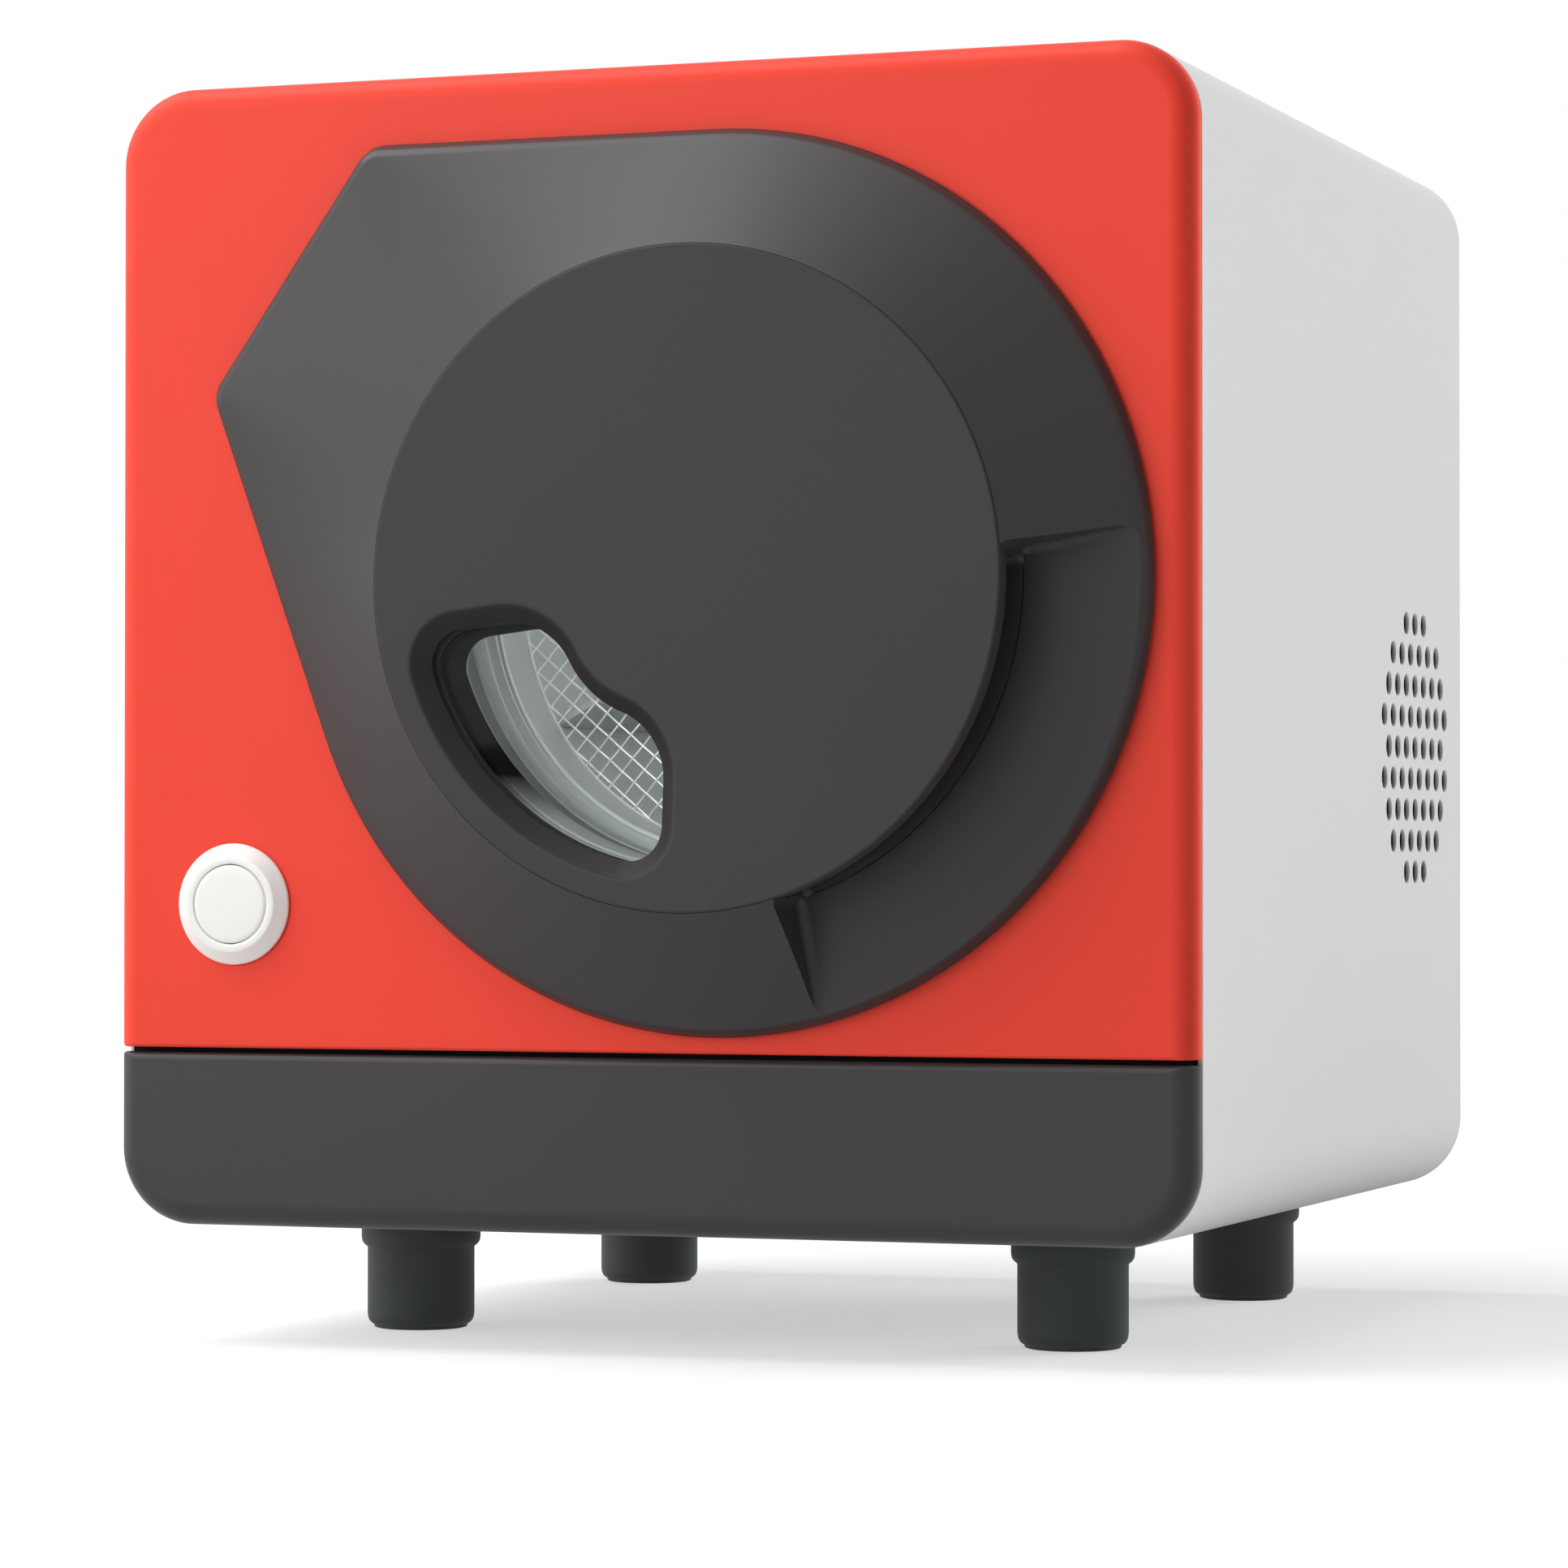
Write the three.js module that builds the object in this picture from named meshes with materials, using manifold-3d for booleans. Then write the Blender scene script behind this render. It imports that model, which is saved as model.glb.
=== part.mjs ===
// Home coffee bean roaster: a box with rounded edges on four feet, with a red front panel, a
// deep round door hinged on a slanted edge, a roasting drum behind the door, and the drive,
// the exhaust fan and the electronics behind the drum.
// Lengths are millimetres and angles are degrees. X runs to the right, Y from front to back
// and Z up. Places are measured from the red panel's face in Y, from the middle of the casing
// in X and from its underside in Z; the last lines set the roaster on its own origin.

import * as THREE from 'three';
import { mergeVertices } from 'three/addons/utils/BufferGeometryUtils.js';
import Module from 'manifold-3d';

const wasm = await Module();
wasm.setup();

// Fits
const seatGap = 0.3;
const runningGap = 0.6;
const overrun = 3;
const weld = 0.0001;

// Casing
const casingWidth = 240;
const casingHeight = 244;
const casingDepth = 240;
const casingRadius = 16.4;
const casingWall = 1.2;
const ventRows = [3, 6, 7, 8, 7, 8, 7, 6, 3];
const ventRadius = 2.65;
const ventPitch = 8.64;
const ventRowPitch = 7.22;
const ventFromBack = 47.7;
const ventHeight = 104.4;
const tabWidth = 16;
const tabHeight = 10;
const tabDepth = 12;
const tabInset = 20;

// Front cover: the red panel above and the dark band below it
const coverDepth = 6.2;
const coverWall = 3;
const coverRim = 4.6;
const coverEdgeRadius = 5;
const bandTop = 36.5;
const bandGap = 1.6;
const bandBevel = 1.5;

// Inner frame
const plateThickness = 2;
const plateInset = 0.4;
const trayInset = 16;
const driveRoom = 83;
const rearPanelSetback = 6;
const rearPlateFront = casingDepth - driveRoom;
const rearPanelFront = casingDepth - rearPanelSetback;

// Feet and screws
const footFromSide = 44.15;
const footFront = 62.3;
const footFromBack = 38.1;
const footHeight = 25.8;
const footRadius = 11.9;
const footCollarRadius = 13.25;
const footCollarHeight = 7.6;
const footBaseRadius = 10.4;
const footBaseStep = 0.8;
const footEdge = 2.6;
const footEdgeShare = 0.25;
const footCollarShare = 0.125;
const screwRadius = 2;
const screwHeadRadius = 4.2;
const screwHeadHeight = 2.4;
const screwTopShare = 0.7;
const screwLength = 20;

// Drum axis, which the door, the mouth and the drum share; it lies a little below the middle of
// the red panel.
const axisX = 18.3;
const axisDrop = 4.85;
const axisZ = (bandTop + casingHeight) / 2 - axisDrop;

// Door
const doorRadius = 93.8;
const doorHingeReach = 118.2;
const doorHingeAngle = 144.9;
const doorTangentAngle = 54.9;
const doorCornerRadius = 5.5;
const doorBack = 0.8;
const doorRimHeight = 3.8;
const doorRimDraft = 1.9;
const doorRimRound = 1.3;
const doorRimInsetShare = 1.3;
const doorRimMiddleInsetShare = 0.45;
const doorRimMiddleRiseShare = 0.65;
const doorFace = 22;
const discRadius = 68;
const discThickness = 4.7;
const discRound = 1;
const discProud = 0.2;
const cavityRadius = 63;
const cavityDepth = 4.4;
const linerThickness = 0.8;
const sealInner = 69.3;
const sealOuter = 74.7;
const sealThickness = 2;
const sealRecess = 1.8;

// Finger recess in the door's ring
const recessStart = -74.5;
const recessEnd = 5;
const recessUndercut = 58;
const recessRim = 90.5;
const recessFloorInner = 7;
const recessFloorOuter = 6.3;

// Window in the door's disc
const windowAngle = 227.5;
const windowHalfAngle = 40.5;
const windowReach = 62.5;
const windowCorner = 10.8;
const windowLobeReach = 44.9;
const windowLobe = 18;
const windowWaistReach = 8.7;
const windowBevel = 3.45;
const glassLedge = 2.9;
const glassThickness = 3;
const gasketThickness = 0.7;
const gasketWidth = 2.6;

// Door hinge, along the slanted edge
const hingeRadius = 1.4;
const hingePinRadius = 0.6;
const hingePinHalf = 29;
const hingeSetback = 2.9;
const hingeRise = 0.4;
const knuckleWidth = 8;
const knuckleSpacing = 34;
const hingeLegThickness = 2.2;
const hingeSwing = 20;
const hingeFootWidth = 14;
const hingeFootLength = 12;
const hingeFootThickness = 2.5;

// Magnetic catch
const magnetRadius = 5;
const magnetThickness = 3;
const magnetReach = 82;
const catchAngle = -35.1;
const strikeRadius = 7;
const strikeThickness = 1.3;

// Start button
const buttonFromSide = 28.2;
const buttonX = buttonFromSide - casingWidth / 2;
const buttonZ = 68.8;
const buttonBaseRadius = 12.4;
const buttonFaceRadius = 9.6;
const buttonProud = 3.5;
const buttonBarrelRadius = 9.4;
const buttonBarrelLength = 16;
const buttonCapRadius = 8;
const buttonCapProud = 0.2;
const buttonCapThickness = 5;
const buttonStemRadius = 1.6;
const buttonStemLength = 3.5;
const buttonTravel = 1.8;
const buttonWireRadius = 0.35;
const buttonCoilRadius = 3.2;
const buttonNutRadius = 13;
const buttonNutThickness = 3;

// Chamber
const mouthRim = 2.4;
const mouthInner = 58.4;
const mouthInnerRear = 57.6;
const mouthOuter = 61.8;
const mouthEnd = 14.5;
const mouthFlange = 3;
const panelOpening = 62.6;
const chamberInner = 66;
const chamberWall = 1;
const chamberFlange = 8;
const insulationInner = 68;
const insulationOuter = 78;
const insulationGap = 1;
const portRadius = 9;

// Drum
const drumRadius = 57;
const drumWall = 0.8;
const drumFront = 15.2;
const drumScreenFront = 29;
const drumScreenThickness = 0.8;
const drumTail = 19;
const drumRear = rearPlateFront - drumTail;
const ringWall = 1.6;
const ringLip = 1.2;
const screenPitch = 9.6;
const screenWire = 1.2;
const screenRim = 1.6;
const screenTurn = 45;
const chargeRadius = 24;
const chargeRim = 2;
const drumBackThickness = 1.5;
const vaneHeight = 10;
const vaneThickness = 1.2;
const vaneMargin = 1;
const vaneAngles = [90, 210, 330];
const shaftRadius = 5;
const shaftFlangeRadius = 14;
const shaftFlangeThickness = 2;
const shaftTail = 3;
const bearingFlangeRadius = 12;
const bearingFlangeThickness = 2;
const bearingLength = 8;

// Drum drive
const gearModule = 2.5;
const gearTeeth = 30;
const pinionTeeth = 10;
const gearWidth = 6;
const gearBacklash = 0.7;
const gearFlankAngle = 24;
const gearRootShare = 0.8;
const gearAddendum = 1.7;
const gearDedendum = 2.9;
const gearSetback = 6;
const gearFront = rearPlateFront + gearSetback;
const driveAngle = 220;
const pinionShaftRadius = 2.5;
const pinionShaftLength = 11;
const bracketSetback = 17;
const bracketFront = rearPlateFront + bracketSetback;
const bracketPostRadius = 3;
const bracketHalf = 24;
const bracketReach = 20;
const motorRadius = 14;
const gearboxRadius = 18.5;
const gearboxLength = 20;
const motorLength = 26;
const motorBore = 6;

// Heaters, probe and lamp in the gap round the drum
const rodReach = 61.8;
const elementRadius = 2.2;
const elementHalfAngle = 11;
const elementBend = 12;
const elementFront = 34;
const elementTail = 4.5;
const elementAngles = { left: 232, right: 308 };
const probeRadius = 1.5;
const probeAngle = 122;
const probeLength = 98;
const probeTail = 11;
const lampRadius = 2.6;
const lampAngle = 58;
const lampLength = 46;
const lampTail = 7;
const rodRound = 1;

// Exhaust
const ductAside = 11.7;
const ductRise = 52.1;
const ductX = axisX + ductAside;
const ductZ = axisZ + ductRise;
const ductRadius = 11;
const ductWall = 1.2;
const fanAside = 27.7;
const fanRise = 36.6;
const fanX = axisX + fanAside;
const fanZ = axisZ + fanRise;
const fanSize = 80;
const fanDepth = 25;
const fanBore = 38;
const fanHub = 14;
const fanBlades = 7;
const bladePitch = 38;
const bladeThickness = 1.4;
const bladeDepth = 15;
const fanAxleRadius = 2;
const strutWidth = 4;
const strutDepth = 4;
const fanBossDepth = 6;
const grilleRadius = 35;
const grillePitch = 7.8;
const grilleSlot = 4.2;
const collarMargin = 1.5;
const collarWidth = 3.5;
const collarHeight = 1.5;

// Electronics
const inletFromSide = 50;
const inletX = casingWidth / 2 - inletFromSide;
const inletZ = 36;
const inletWidth = 27;
const inletHeight = 20;
const inletDepth = 20;
const inletFlange = 4;
const inletFlangeThickness = 1.7;
const inletWall = 2;
const inletPinLength = 12;
const inletPinWidth = 2;
const inletPinDrop = 3;
const inletPinRise = 2;
const inletPinSpacing = 7;
const boardFromSide = 60;
const boardFromBack = 44;
const boardX = boardFromSide - casingWidth / 2;
const boardY = casingDepth - boardFromBack;
const boardWidth = 78;
const boardDepth = 54;
const boardThickness = 1.6;
const boardLegHeight = 6;
const boardLegRadius = 3;
const boardLegInset = 6;
const transformerSize = 24;
const capacitorRadius = 7;
const capacitorHeight = 22;
const relayWidth = 16;
const relayHeight = 14;

// Sides of round shapes and steps of curves
const sides = { large: 36, medium: 16, foot: 16, small: 8, vent: 6 };
const steps = { corner: 5, edge: 3, doorArc: 34, doorEdge: 3, window: 5 };
const spring = { turns: 4, steps: 7, sides: 4 };
const nutSides = 6;
const steepShare = 0.9;
const elementSteps = 8;
const elementSides = 8;

const colours = {
  red: 0xee4e3d,
  charcoal: 0x4a4849,
  white: 0xe4e6e5,
  pearl: 0xf6f7f4,
  rubber: 0x2b2f31,
  glass: 0x9aa3a3,
  steel: 0xb9bdbd,
  darkSteel: 0x55585a,
  brass: 0xb08d45,
  board: 0x1f5a3a,
  insulation: 0xcfc9ba,
  silicone: 0x9b3a30,
};

// Shapes

function radians(angle) {
  return THREE.MathUtils.degToRad(angle);
}

// Any closed geometry as a solid: only positions stay, shared corners are merged, flat
// slivers are dropped, and the faces are turned outwards.
function solidOf(geometry) {
  const bare = new THREE.BufferGeometry();
  bare.setAttribute('position', geometry.getAttribute('position').clone());
  if (geometry.getIndex()) {
    bare.setIndex(geometry.getIndex().clone());
  }
  const merged = mergeVertices(bare, weld);
  const places = merged.getAttribute('position').array;
  const corners = merged.getIndex().array;
  const kept = [];
  let volume = 0;
  const a = new THREE.Vector3();
  const b = new THREE.Vector3();
  const c = new THREE.Vector3();
  for (let i = 0; i < corners.length; i += 3) {
    const [p, q, r] = [corners[i], corners[i + 1], corners[i + 2]];
    if (p !== q && q !== r && r !== p) {
      kept.push(p, q, r);
      a.fromArray(places, 3 * p);
      b.fromArray(places, 3 * q);
      c.fromArray(places, 3 * r);
      volume += a.dot(b.cross(c));
    }
  }
  if (volume < 0) {
    kept.reverse();
  }
  return new wasm.Manifold(new wasm.Mesh({
    numProp: 3,
    vertProperties: new Float32Array(places),
    triVerts: new Uint32Array(kept),
  }));
}

function geometryOf(solid) {
  const mesh = solid.getMesh();
  const geometry = new THREE.BufferGeometry();
  geometry.setAttribute('position', new THREE.BufferAttribute(mesh.vertProperties, 3));
  geometry.setIndex(new THREE.BufferAttribute(mesh.triVerts, 1));
  geometry.computeVertexNormals();
  return geometry;
}

function fuse(first, ...others) {
  return others.reduce((sum, other) => sum.add(other), first);
}

function cut(first, ...tools) {
  return tools.reduce((rest, tool) => rest.subtract(tool), first);
}

function block([x0, x1], [y0, y1], [z0, z1]) {
  const box = new THREE.BoxGeometry(x1 - x0, y1 - y0, z1 - z0);
  box.translate((x0 + x1) / 2, (y0 + y1) / 2, (z0 + z1) / 2);
  return solidOf(box);
}

// A round shape about a line along Y; its profile lists [radius, y].
function turned(profile, count, x = 0, z = 0) {
  const points = profile.map(([radius, y]) => new THREE.Vector2(radius, y));
  const lathe = new THREE.LatheGeometry(points, count);
  lathe.rotateY(Math.PI / count);
  lathe.translate(x, 0, z);
  return solidOf(lathe);
}

function cylinder(radius, y0, y1, count, x = 0, z = 0) {
  return turned([[0, y0], [radius, y0], [radius, y1], [0, y1]], count, x, z);
}

function ring(inner, outer, y0, y1, count, x = 0, z = 0) {
  const profile = [[inner, y0], [outer, y0], [outer, y1], [inner, y1], [inner, y0]];
  return turned(profile, count, x, z);
}

// A round shape about a line along Z; its profile lists [radius, z].
function upright(profile, count, x = 0, y = 0) {
  const points = profile.map(([radius, z]) => new THREE.Vector2(radius, z));
  const lathe = new THREE.LatheGeometry(points, count);
  lathe.rotateX(Math.PI / 2);
  lathe.translate(x, y, 0);
  return solidOf(lathe);
}

// A round hole along X.
function crosswise(radius, x0, x1, count, y, z) {
  const rod = new THREE.CylinderGeometry(radius, radius, x1 - x0, count);
  rod.rotateZ(Math.PI / 2);
  rod.translate((x0 + x1) / 2, y, z);
  return solidOf(rod);
}

// Outlines are lists of [x, z]; this gives one a depth from y0 to y1.
function depthwise(outline, y0, y1) {
  const lift = (y) => outline.map(([x, z]) => [x, y, z]);
  return loft([lift(y0), lift(y1)]);
}

// A closed skin through rings of [x, y, z] that all have the same number of points.
function loft(rings) {
  const count = rings[0].length;
  const positions = rings.flat(2);
  const index = [];
  for (let level = 0; level + 1 < rings.length; level += 1) {
    for (let i = 0; i < count; i += 1) {
      const next = (i + 1) % count;
      const [a, b] = [level * count + i, level * count + next];
      index.push(a, b, a + count, b, b + count, a + count);
    }
  }
  const flat = rings[0].map(([x, , z]) => new THREE.Vector2(x, z));
  const top = (rings.length - 1) * count;
  const last = rings[rings.length - 1].map(([x, , z]) => new THREE.Vector2(x, z));
  for (const [a, b, c] of THREE.ShapeUtils.triangulateShape(flat, [])) {
    index.push(c, b, a);
  }
  for (const [a, b, c] of THREE.ShapeUtils.triangulateShape(last, [])) {
    index.push(top + a, top + b, top + c);
  }
  const geometry = new THREE.BufferGeometry();
  geometry.setAttribute('position', new THREE.Float32BufferAttribute(positions, 3));
  geometry.setIndex(index);
  return solidOf(geometry);
}

// A round bar along a list of points, with square ends.
function bar(points, radius, count) {
  const path = points.map((point) => new THREE.Vector3(...point));
  const rings = [];
  let side = null;
  path.forEach((point, i) => {
    const before = path[Math.max(i - 1, 0)];
    const after = path[Math.min(i + 1, path.length - 1)];
    const along = after.clone().sub(before).normalize();
    if (!side) {
      side = Math.abs(along.z) < steepShare ? new THREE.Vector3(0, 0, 1) : new THREE.Vector3(1, 0, 0);
    }
    side.addScaledVector(along, -side.dot(along)).normalize();
    const other = along.clone().cross(side);
    const section = [];
    for (let k = 0; k < count; k += 1) {
      const turn = (2 * Math.PI * k) / count;
      const spot = point.clone();
      spot.addScaledVector(side, radius * Math.cos(turn));
      spot.addScaledVector(other, radius * Math.sin(turn));
      section.push(spot.toArray());
    }
    rings.push(section);
    side = side.clone();
  });
  const positions = rings.flat(2);
  const index = [];
  for (let level = 0; level + 1 < rings.length; level += 1) {
    for (let k = 0; k < count; k += 1) {
      const next = (k + 1) % count;
      const [a, b] = [level * count + k, level * count + next];
      index.push(a, b, a + count, b, b + count, a + count);
    }
  }
  const top = (rings.length - 1) * count;
  for (let k = 1; k + 1 < count; k += 1) {
    index.push(0, k + 1, k, top, top + k, top + k + 1);
  }
  const geometry = new THREE.BufferGeometry();
  geometry.setAttribute('position', new THREE.Float32BufferAttribute(positions, 3));
  geometry.setIndex(index);
  return solidOf(geometry);
}

function moved(solid, x, y, z) {
  return solid.translate([x, y, z]);
}

// Points of an arc from one angle to another, both ends included.
function arc(x, z, radius, from, to, count) {
  const points = [];
  for (let i = 0; i <= count; i += 1) {
    const angle = radians(from + ((to - from) * i) / count);
    points.push([x + radius * Math.cos(angle), z + radius * Math.sin(angle)]);
  }
  return points;
}

function polar(radius, angle) {
  return [radius * Math.cos(radians(angle)), radius * Math.sin(radians(angle))];
}

// The casing's outline seen from the front, drawn in by an inset.
function casingOutline(inset) {
  const x = casingWidth / 2 - casingRadius;
  const radius = casingRadius - inset;
  const low = casingRadius;
  const high = casingHeight - casingRadius;
  return [
    ...arc(x, low, radius, -90, 0, steps.corner),
    ...arc(x, high, radius, 0, 90, steps.corner),
    ...arc(-x, high, radius, 90, 180, steps.corner),
    ...arc(-x, low, radius, 180, 270, steps.corner),
  ];
}

function plateOutline() {
  return casingOutline(casingWall + plateInset);
}

function above(z) {
  const reach = casingWidth + casingHeight;
  return block([-reach, reach], [-reach, reach], [z, z + reach]);
}

function below(z) {
  const reach = casingWidth + casingHeight;
  return block([-reach, reach], [-reach, reach], [z - reach, z]);
}

// Screws, their holes and the feet share these places.
const footX = casingWidth / 2 - footFromSide;
const footPlaces = {
  front_left: [-footX, footFront],
  front_right: [footX, footFront],
  rear_left: [-footX, casingDepth - footFromBack],
  rear_right: [footX, casingDepth - footFromBack],
};
const tabX = casingWidth / 2 - casingWall - tabWidth / 2;
const tabLow = tabInset + tabHeight / 2;
const tabHigh = casingHeight - tabInset - tabHeight / 2;
const rearScrewPlaces = {
  low_left: [-tabX, tabLow],
  low_right: [tabX, tabLow],
  high_left: [-tabX, tabHigh],
  high_right: [tabX, tabHigh],
};
const screwHole = screwRadius + seatGap;
const trayBottom = casingWall + seatGap;
const trayTop = trayBottom + plateThickness;
const frontPlateFront = coverDepth + seatGap;
const frontPlateBack = frontPlateFront + plateThickness;
const rearPlateBack = rearPlateFront + plateThickness;
const rearPanelBack = rearPanelFront + plateThickness;

// Casing and frame

function outerCasing() {
  const front = coverDepth + seatGap;
  const outer = depthwise(casingOutline(0), front, casingDepth);
  const inner = depthwise(casingOutline(casingWall), front - overrun, casingDepth + overrun);
  const tabs = Object.values(rearScrewPlaces).map(([x, z]) => casingTab(x, z));
  const sleeve = fuse(cut(outer, inner), ...tabs);
  const footHoles = Object.values(footPlaces).map(([x, y]) => upright(
    [[0, -overrun], [screwHole, -overrun], [screwHole, casingWall + overrun], [0, casingWall + overrun]],
    sides.small,
    x,
    y,
  ));
  return cut(sleeve, ...ventHoles(), ...footHoles);
}

function casingTab(x, z) {
  const wall = casingWidth / 2 - casingWall / 2;
  const inside = Math.abs(x) - tabWidth / 2;
  const xs = x > 0 ? [inside, wall] : [-wall, -inside];
  const back = rearPanelFront - seatGap;
  const tab = block(xs, [back - tabDepth, back], [z - tabHeight / 2, z + tabHeight / 2]);
  return cut(tab, cylinder(screwHole, back - tabDepth - overrun, back + overrun, sides.small, x, z));
}

function ventHoles() {
  const holes = [];
  const wall = casingWidth / 2;
  ventRows.forEach((count, row) => {
    const z = ventHeight + (row - (ventRows.length - 1) / 2) * ventRowPitch;
    for (let i = 0; i < count; i += 1) {
      const y = casingDepth - ventFromBack + (i - (count - 1) / 2) * ventPitch;
      holes.push(crosswise(ventRadius, wall - overrun, wall + overrun, sides.vent, y, z));
    }
  });
  return holes;
}

// The whole front cover with its rounded front edge, before it is parted into panel and band.
function coverBody() {
  const rings = [];
  for (let i = 0; i <= steps.edge; i += 1) {
    const turn = radians((90 * i) / steps.edge);
    const inset = coverEdgeRadius * (1 - Math.sin(turn));
    const y = coverEdgeRadius * (1 - Math.cos(turn));
    rings.push(casingOutline(inset).map(([x, z]) => [x, y, z]));
  }
  rings.push(casingOutline(0).map(([x, z]) => [x, coverDepth, z]));
  return loft(rings);
}

function coverHollow(low, high) {
  const pocket = depthwise(casingOutline(coverRim), coverWall, coverDepth + overrun);
  return pocket.intersect(above(low)).intersect(below(high));
}

function frontPanel() {
  const low = bandTop + bandGap;
  const through = [-overrun, coverDepth + overrun];
  const body = cut(coverBody().intersect(above(low)), coverHollow(low + coverRim, casingHeight));
  const [catchX, catchZ] = polar(magnetReach, catchAngle);
  return cut(
    body,
    cylinder(panelOpening, ...through, sides.large, axisX, axisZ),
    cylinder(buttonBarrelRadius + seatGap, ...through, sides.medium, buttonX, buttonZ),
    cylinder(
      strikeRadius + seatGap,
      -overrun,
      2 * seatGap + strikeThickness,
      sides.medium,
      axisX + catchX,
      axisZ + catchZ,
    ),
    ...knucklePlaces().flatMap((along) => [
      hingeBlock(
        [along - knuckleWidth / 2 - seatGap, along + knuckleWidth / 2 + seatGap],
        through,
        [-hingeLegThickness / 2 - seatGap, hingeLegThickness / 2 + seatGap],
      ),
      hingeBlock(
        [along - hingeFootWidth / 2 - seatGap, along + hingeFootWidth / 2 + seatGap],
        [coverDepth - hingeFootThickness - seatGap, coverDepth + overrun],
        [-hingeFootLength / 2 - seatGap, hingeFootLength / 2 + seatGap],
      ),
    ]),
  );
}

// A square bar turned onto its edge takes an even bevel off the band's top front edge.
function lowerFrontBand() {
  const reach = casingWidth;
  const bevel = new THREE.BoxGeometry(2 * reach, 2 * bandBevel, 2 * bandBevel);
  bevel.rotateX(Math.PI / 4);
  bevel.translate(0, 0, bandTop + bandBevel * (Math.SQRT2 - 1) / 2);
  const body = cut(coverBody().intersect(below(bandTop)), coverHollow(-overrun, bandTop - coverRim));
  return cut(body, solidOf(bevel));
}

function frontBulkhead() {
  const plate = depthwise(plateOutline(), frontPlateFront, frontPlateBack);
  const through = [frontPlateFront - overrun, frontPlateBack + overrun];
  return cut(
    plate.intersect(above(trayTop + seatGap)),
    cylinder(panelOpening, ...through, sides.large, axisX, axisZ),
    cylinder(buttonBarrelRadius + seatGap, ...through, sides.medium, buttonX, buttonZ),
  );
}

function rearBulkhead() {
  const plate = depthwise(plateOutline(), rearPlateFront, rearPlateBack);
  return cut(plate.intersect(above(trayTop + seatGap)), ...rearPorts(rearPlateFront, rearPlateBack));
}

// Holes for the bearing, the heaters, the probe, the lamp and the exhaust, through the back of
// the chamber and the plate behind it.
function rearPorts(front, back) {
  const through = [front - overrun, back + overrun];
  const legs = Object.values(elementAngles).flatMap((angle) => [
    angle - elementHalfAngle,
    angle + elementHalfAngle,
  ]);
  const place = (reach, angle) => {
    const [x, z] = polar(reach, angle);
    return [axisX + x, axisZ + z];
  };
  return [
    cylinder(portRadius, ...through, sides.medium, axisX, axisZ),
    cylinder(ductRadius + seatGap, ...through, sides.medium, ductX, ductZ),
    cylinder(probeRadius + seatGap, ...through, sides.small, ...place(rodReach, probeAngle)),
    cylinder(lampRadius + seatGap, ...through, sides.small, ...place(rodReach, lampAngle)),
    ...legs.map((angle) => (
      cylinder(elementRadius + seatGap, ...through, sides.small, ...place(rodReach, angle))
    )),
  ];
}

function baseTray() {
  const depth = [frontPlateFront, rearPanelFront - seatGap];
  const half = casingWidth / 2 - trayInset;
  const tray = block([-half, half], depth, [trayBottom, trayTop]);
  const low = trayBottom - overrun;
  const high = trayTop + overrun;
  const holes = Object.values(footPlaces).map(([x, y]) => upright(
    [[0, low], [screwHole, low], [screwHole, high], [0, high]],
    sides.small,
    x,
    y,
  ));
  return cut(tray, ...holes);
}

// The rear panel has the fan's grille, with a raised collar round it that a hose adaptor rests on.
function rearPanel() {
  const plate = depthwise(plateOutline(), rearPanelFront, rearPanelBack);
  const through = [rearPanelFront - overrun, rearPanelBack + overrun];
  const screws = Object.values(rearScrewPlaces).map(([x, z]) => (
    cylinder(screwHole, ...through, sides.small, x, z)
  ));
  const slots = [];
  const rows = Math.floor(grilleRadius / grillePitch);
  for (let row = -rows; row <= rows; row += 1) {
    const z = row * grillePitch;
    const half = Math.sqrt(grilleRadius ** 2 - z ** 2);
    slots.push(block(
      [fanX - half, fanX + half],
      through,
      [fanZ + z - grilleSlot / 2, fanZ + z + grilleSlot / 2],
    ));
  }
  const socket = block(
    [inletX - inletWidth / 2 - seatGap, inletX + inletWidth / 2 + seatGap],
    through,
    [inletZ - inletHeight / 2 - seatGap, inletZ + inletHeight / 2 + seatGap],
  );
  const collar = ring(
    grilleRadius + collarMargin,
    grilleRadius + collarMargin + collarWidth,
    rearPanelBack - plateThickness / 2,
    rearPanelBack + collarHeight,
    sides.large,
    fanX,
    fanZ,
  );
  return fuse(cut(plate, socket, ...screws, ...slots), collar);
}

// Feet and screws

function foot() {
  const top = -seatGap;
  const base = -footHeight;
  const collar = top - footCollarHeight;
  const bore = top - screwLength;
  return upright([
    [0, base],
    [footBaseRadius, base],
    [footBaseRadius, base + footBaseStep],
    [footRadius - footEdge * footEdgeShare, base + footBaseStep + footEdge * footEdgeShare],
    [footRadius, base + footBaseStep + footEdge],
    [footRadius, collar],
    [footCollarRadius - footEdge * footCollarShare, collar + footEdge / 2],
    [footCollarRadius, collar + footEdge],
    [footCollarRadius, top],
    [screwHole, top],
    [screwHole, bore],
    [0, bore],
  ], sides.foot);
}

function footScrew() {
  const seat = trayTop + seatGap;
  const tip = seat - screwLength;
  const head = seat + screwHeadHeight;
  return upright([
    [0, tip],
    [screwRadius, tip],
    [screwRadius, seat],
    [screwHeadRadius, seat],
    [screwHeadRadius, seat + screwHeadHeight / 2],
    [screwHeadRadius * screwTopShare, head],
    [0, head],
  ], sides.small);
}

function rearScrew() {
  const seat = rearPanelBack + seatGap;
  return turned([
    [0, seat - tabDepth],
    [screwRadius, seat - tabDepth],
    [screwRadius, seat],
    [screwHeadRadius, seat],
    [screwHeadRadius, seat + screwHeadHeight / 2],
    [screwHeadRadius * screwTopShare, seat + screwHeadHeight],
    [0, seat + screwHeadHeight],
  ], sides.small);
}

// Door, drawn about the drum axis

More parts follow.
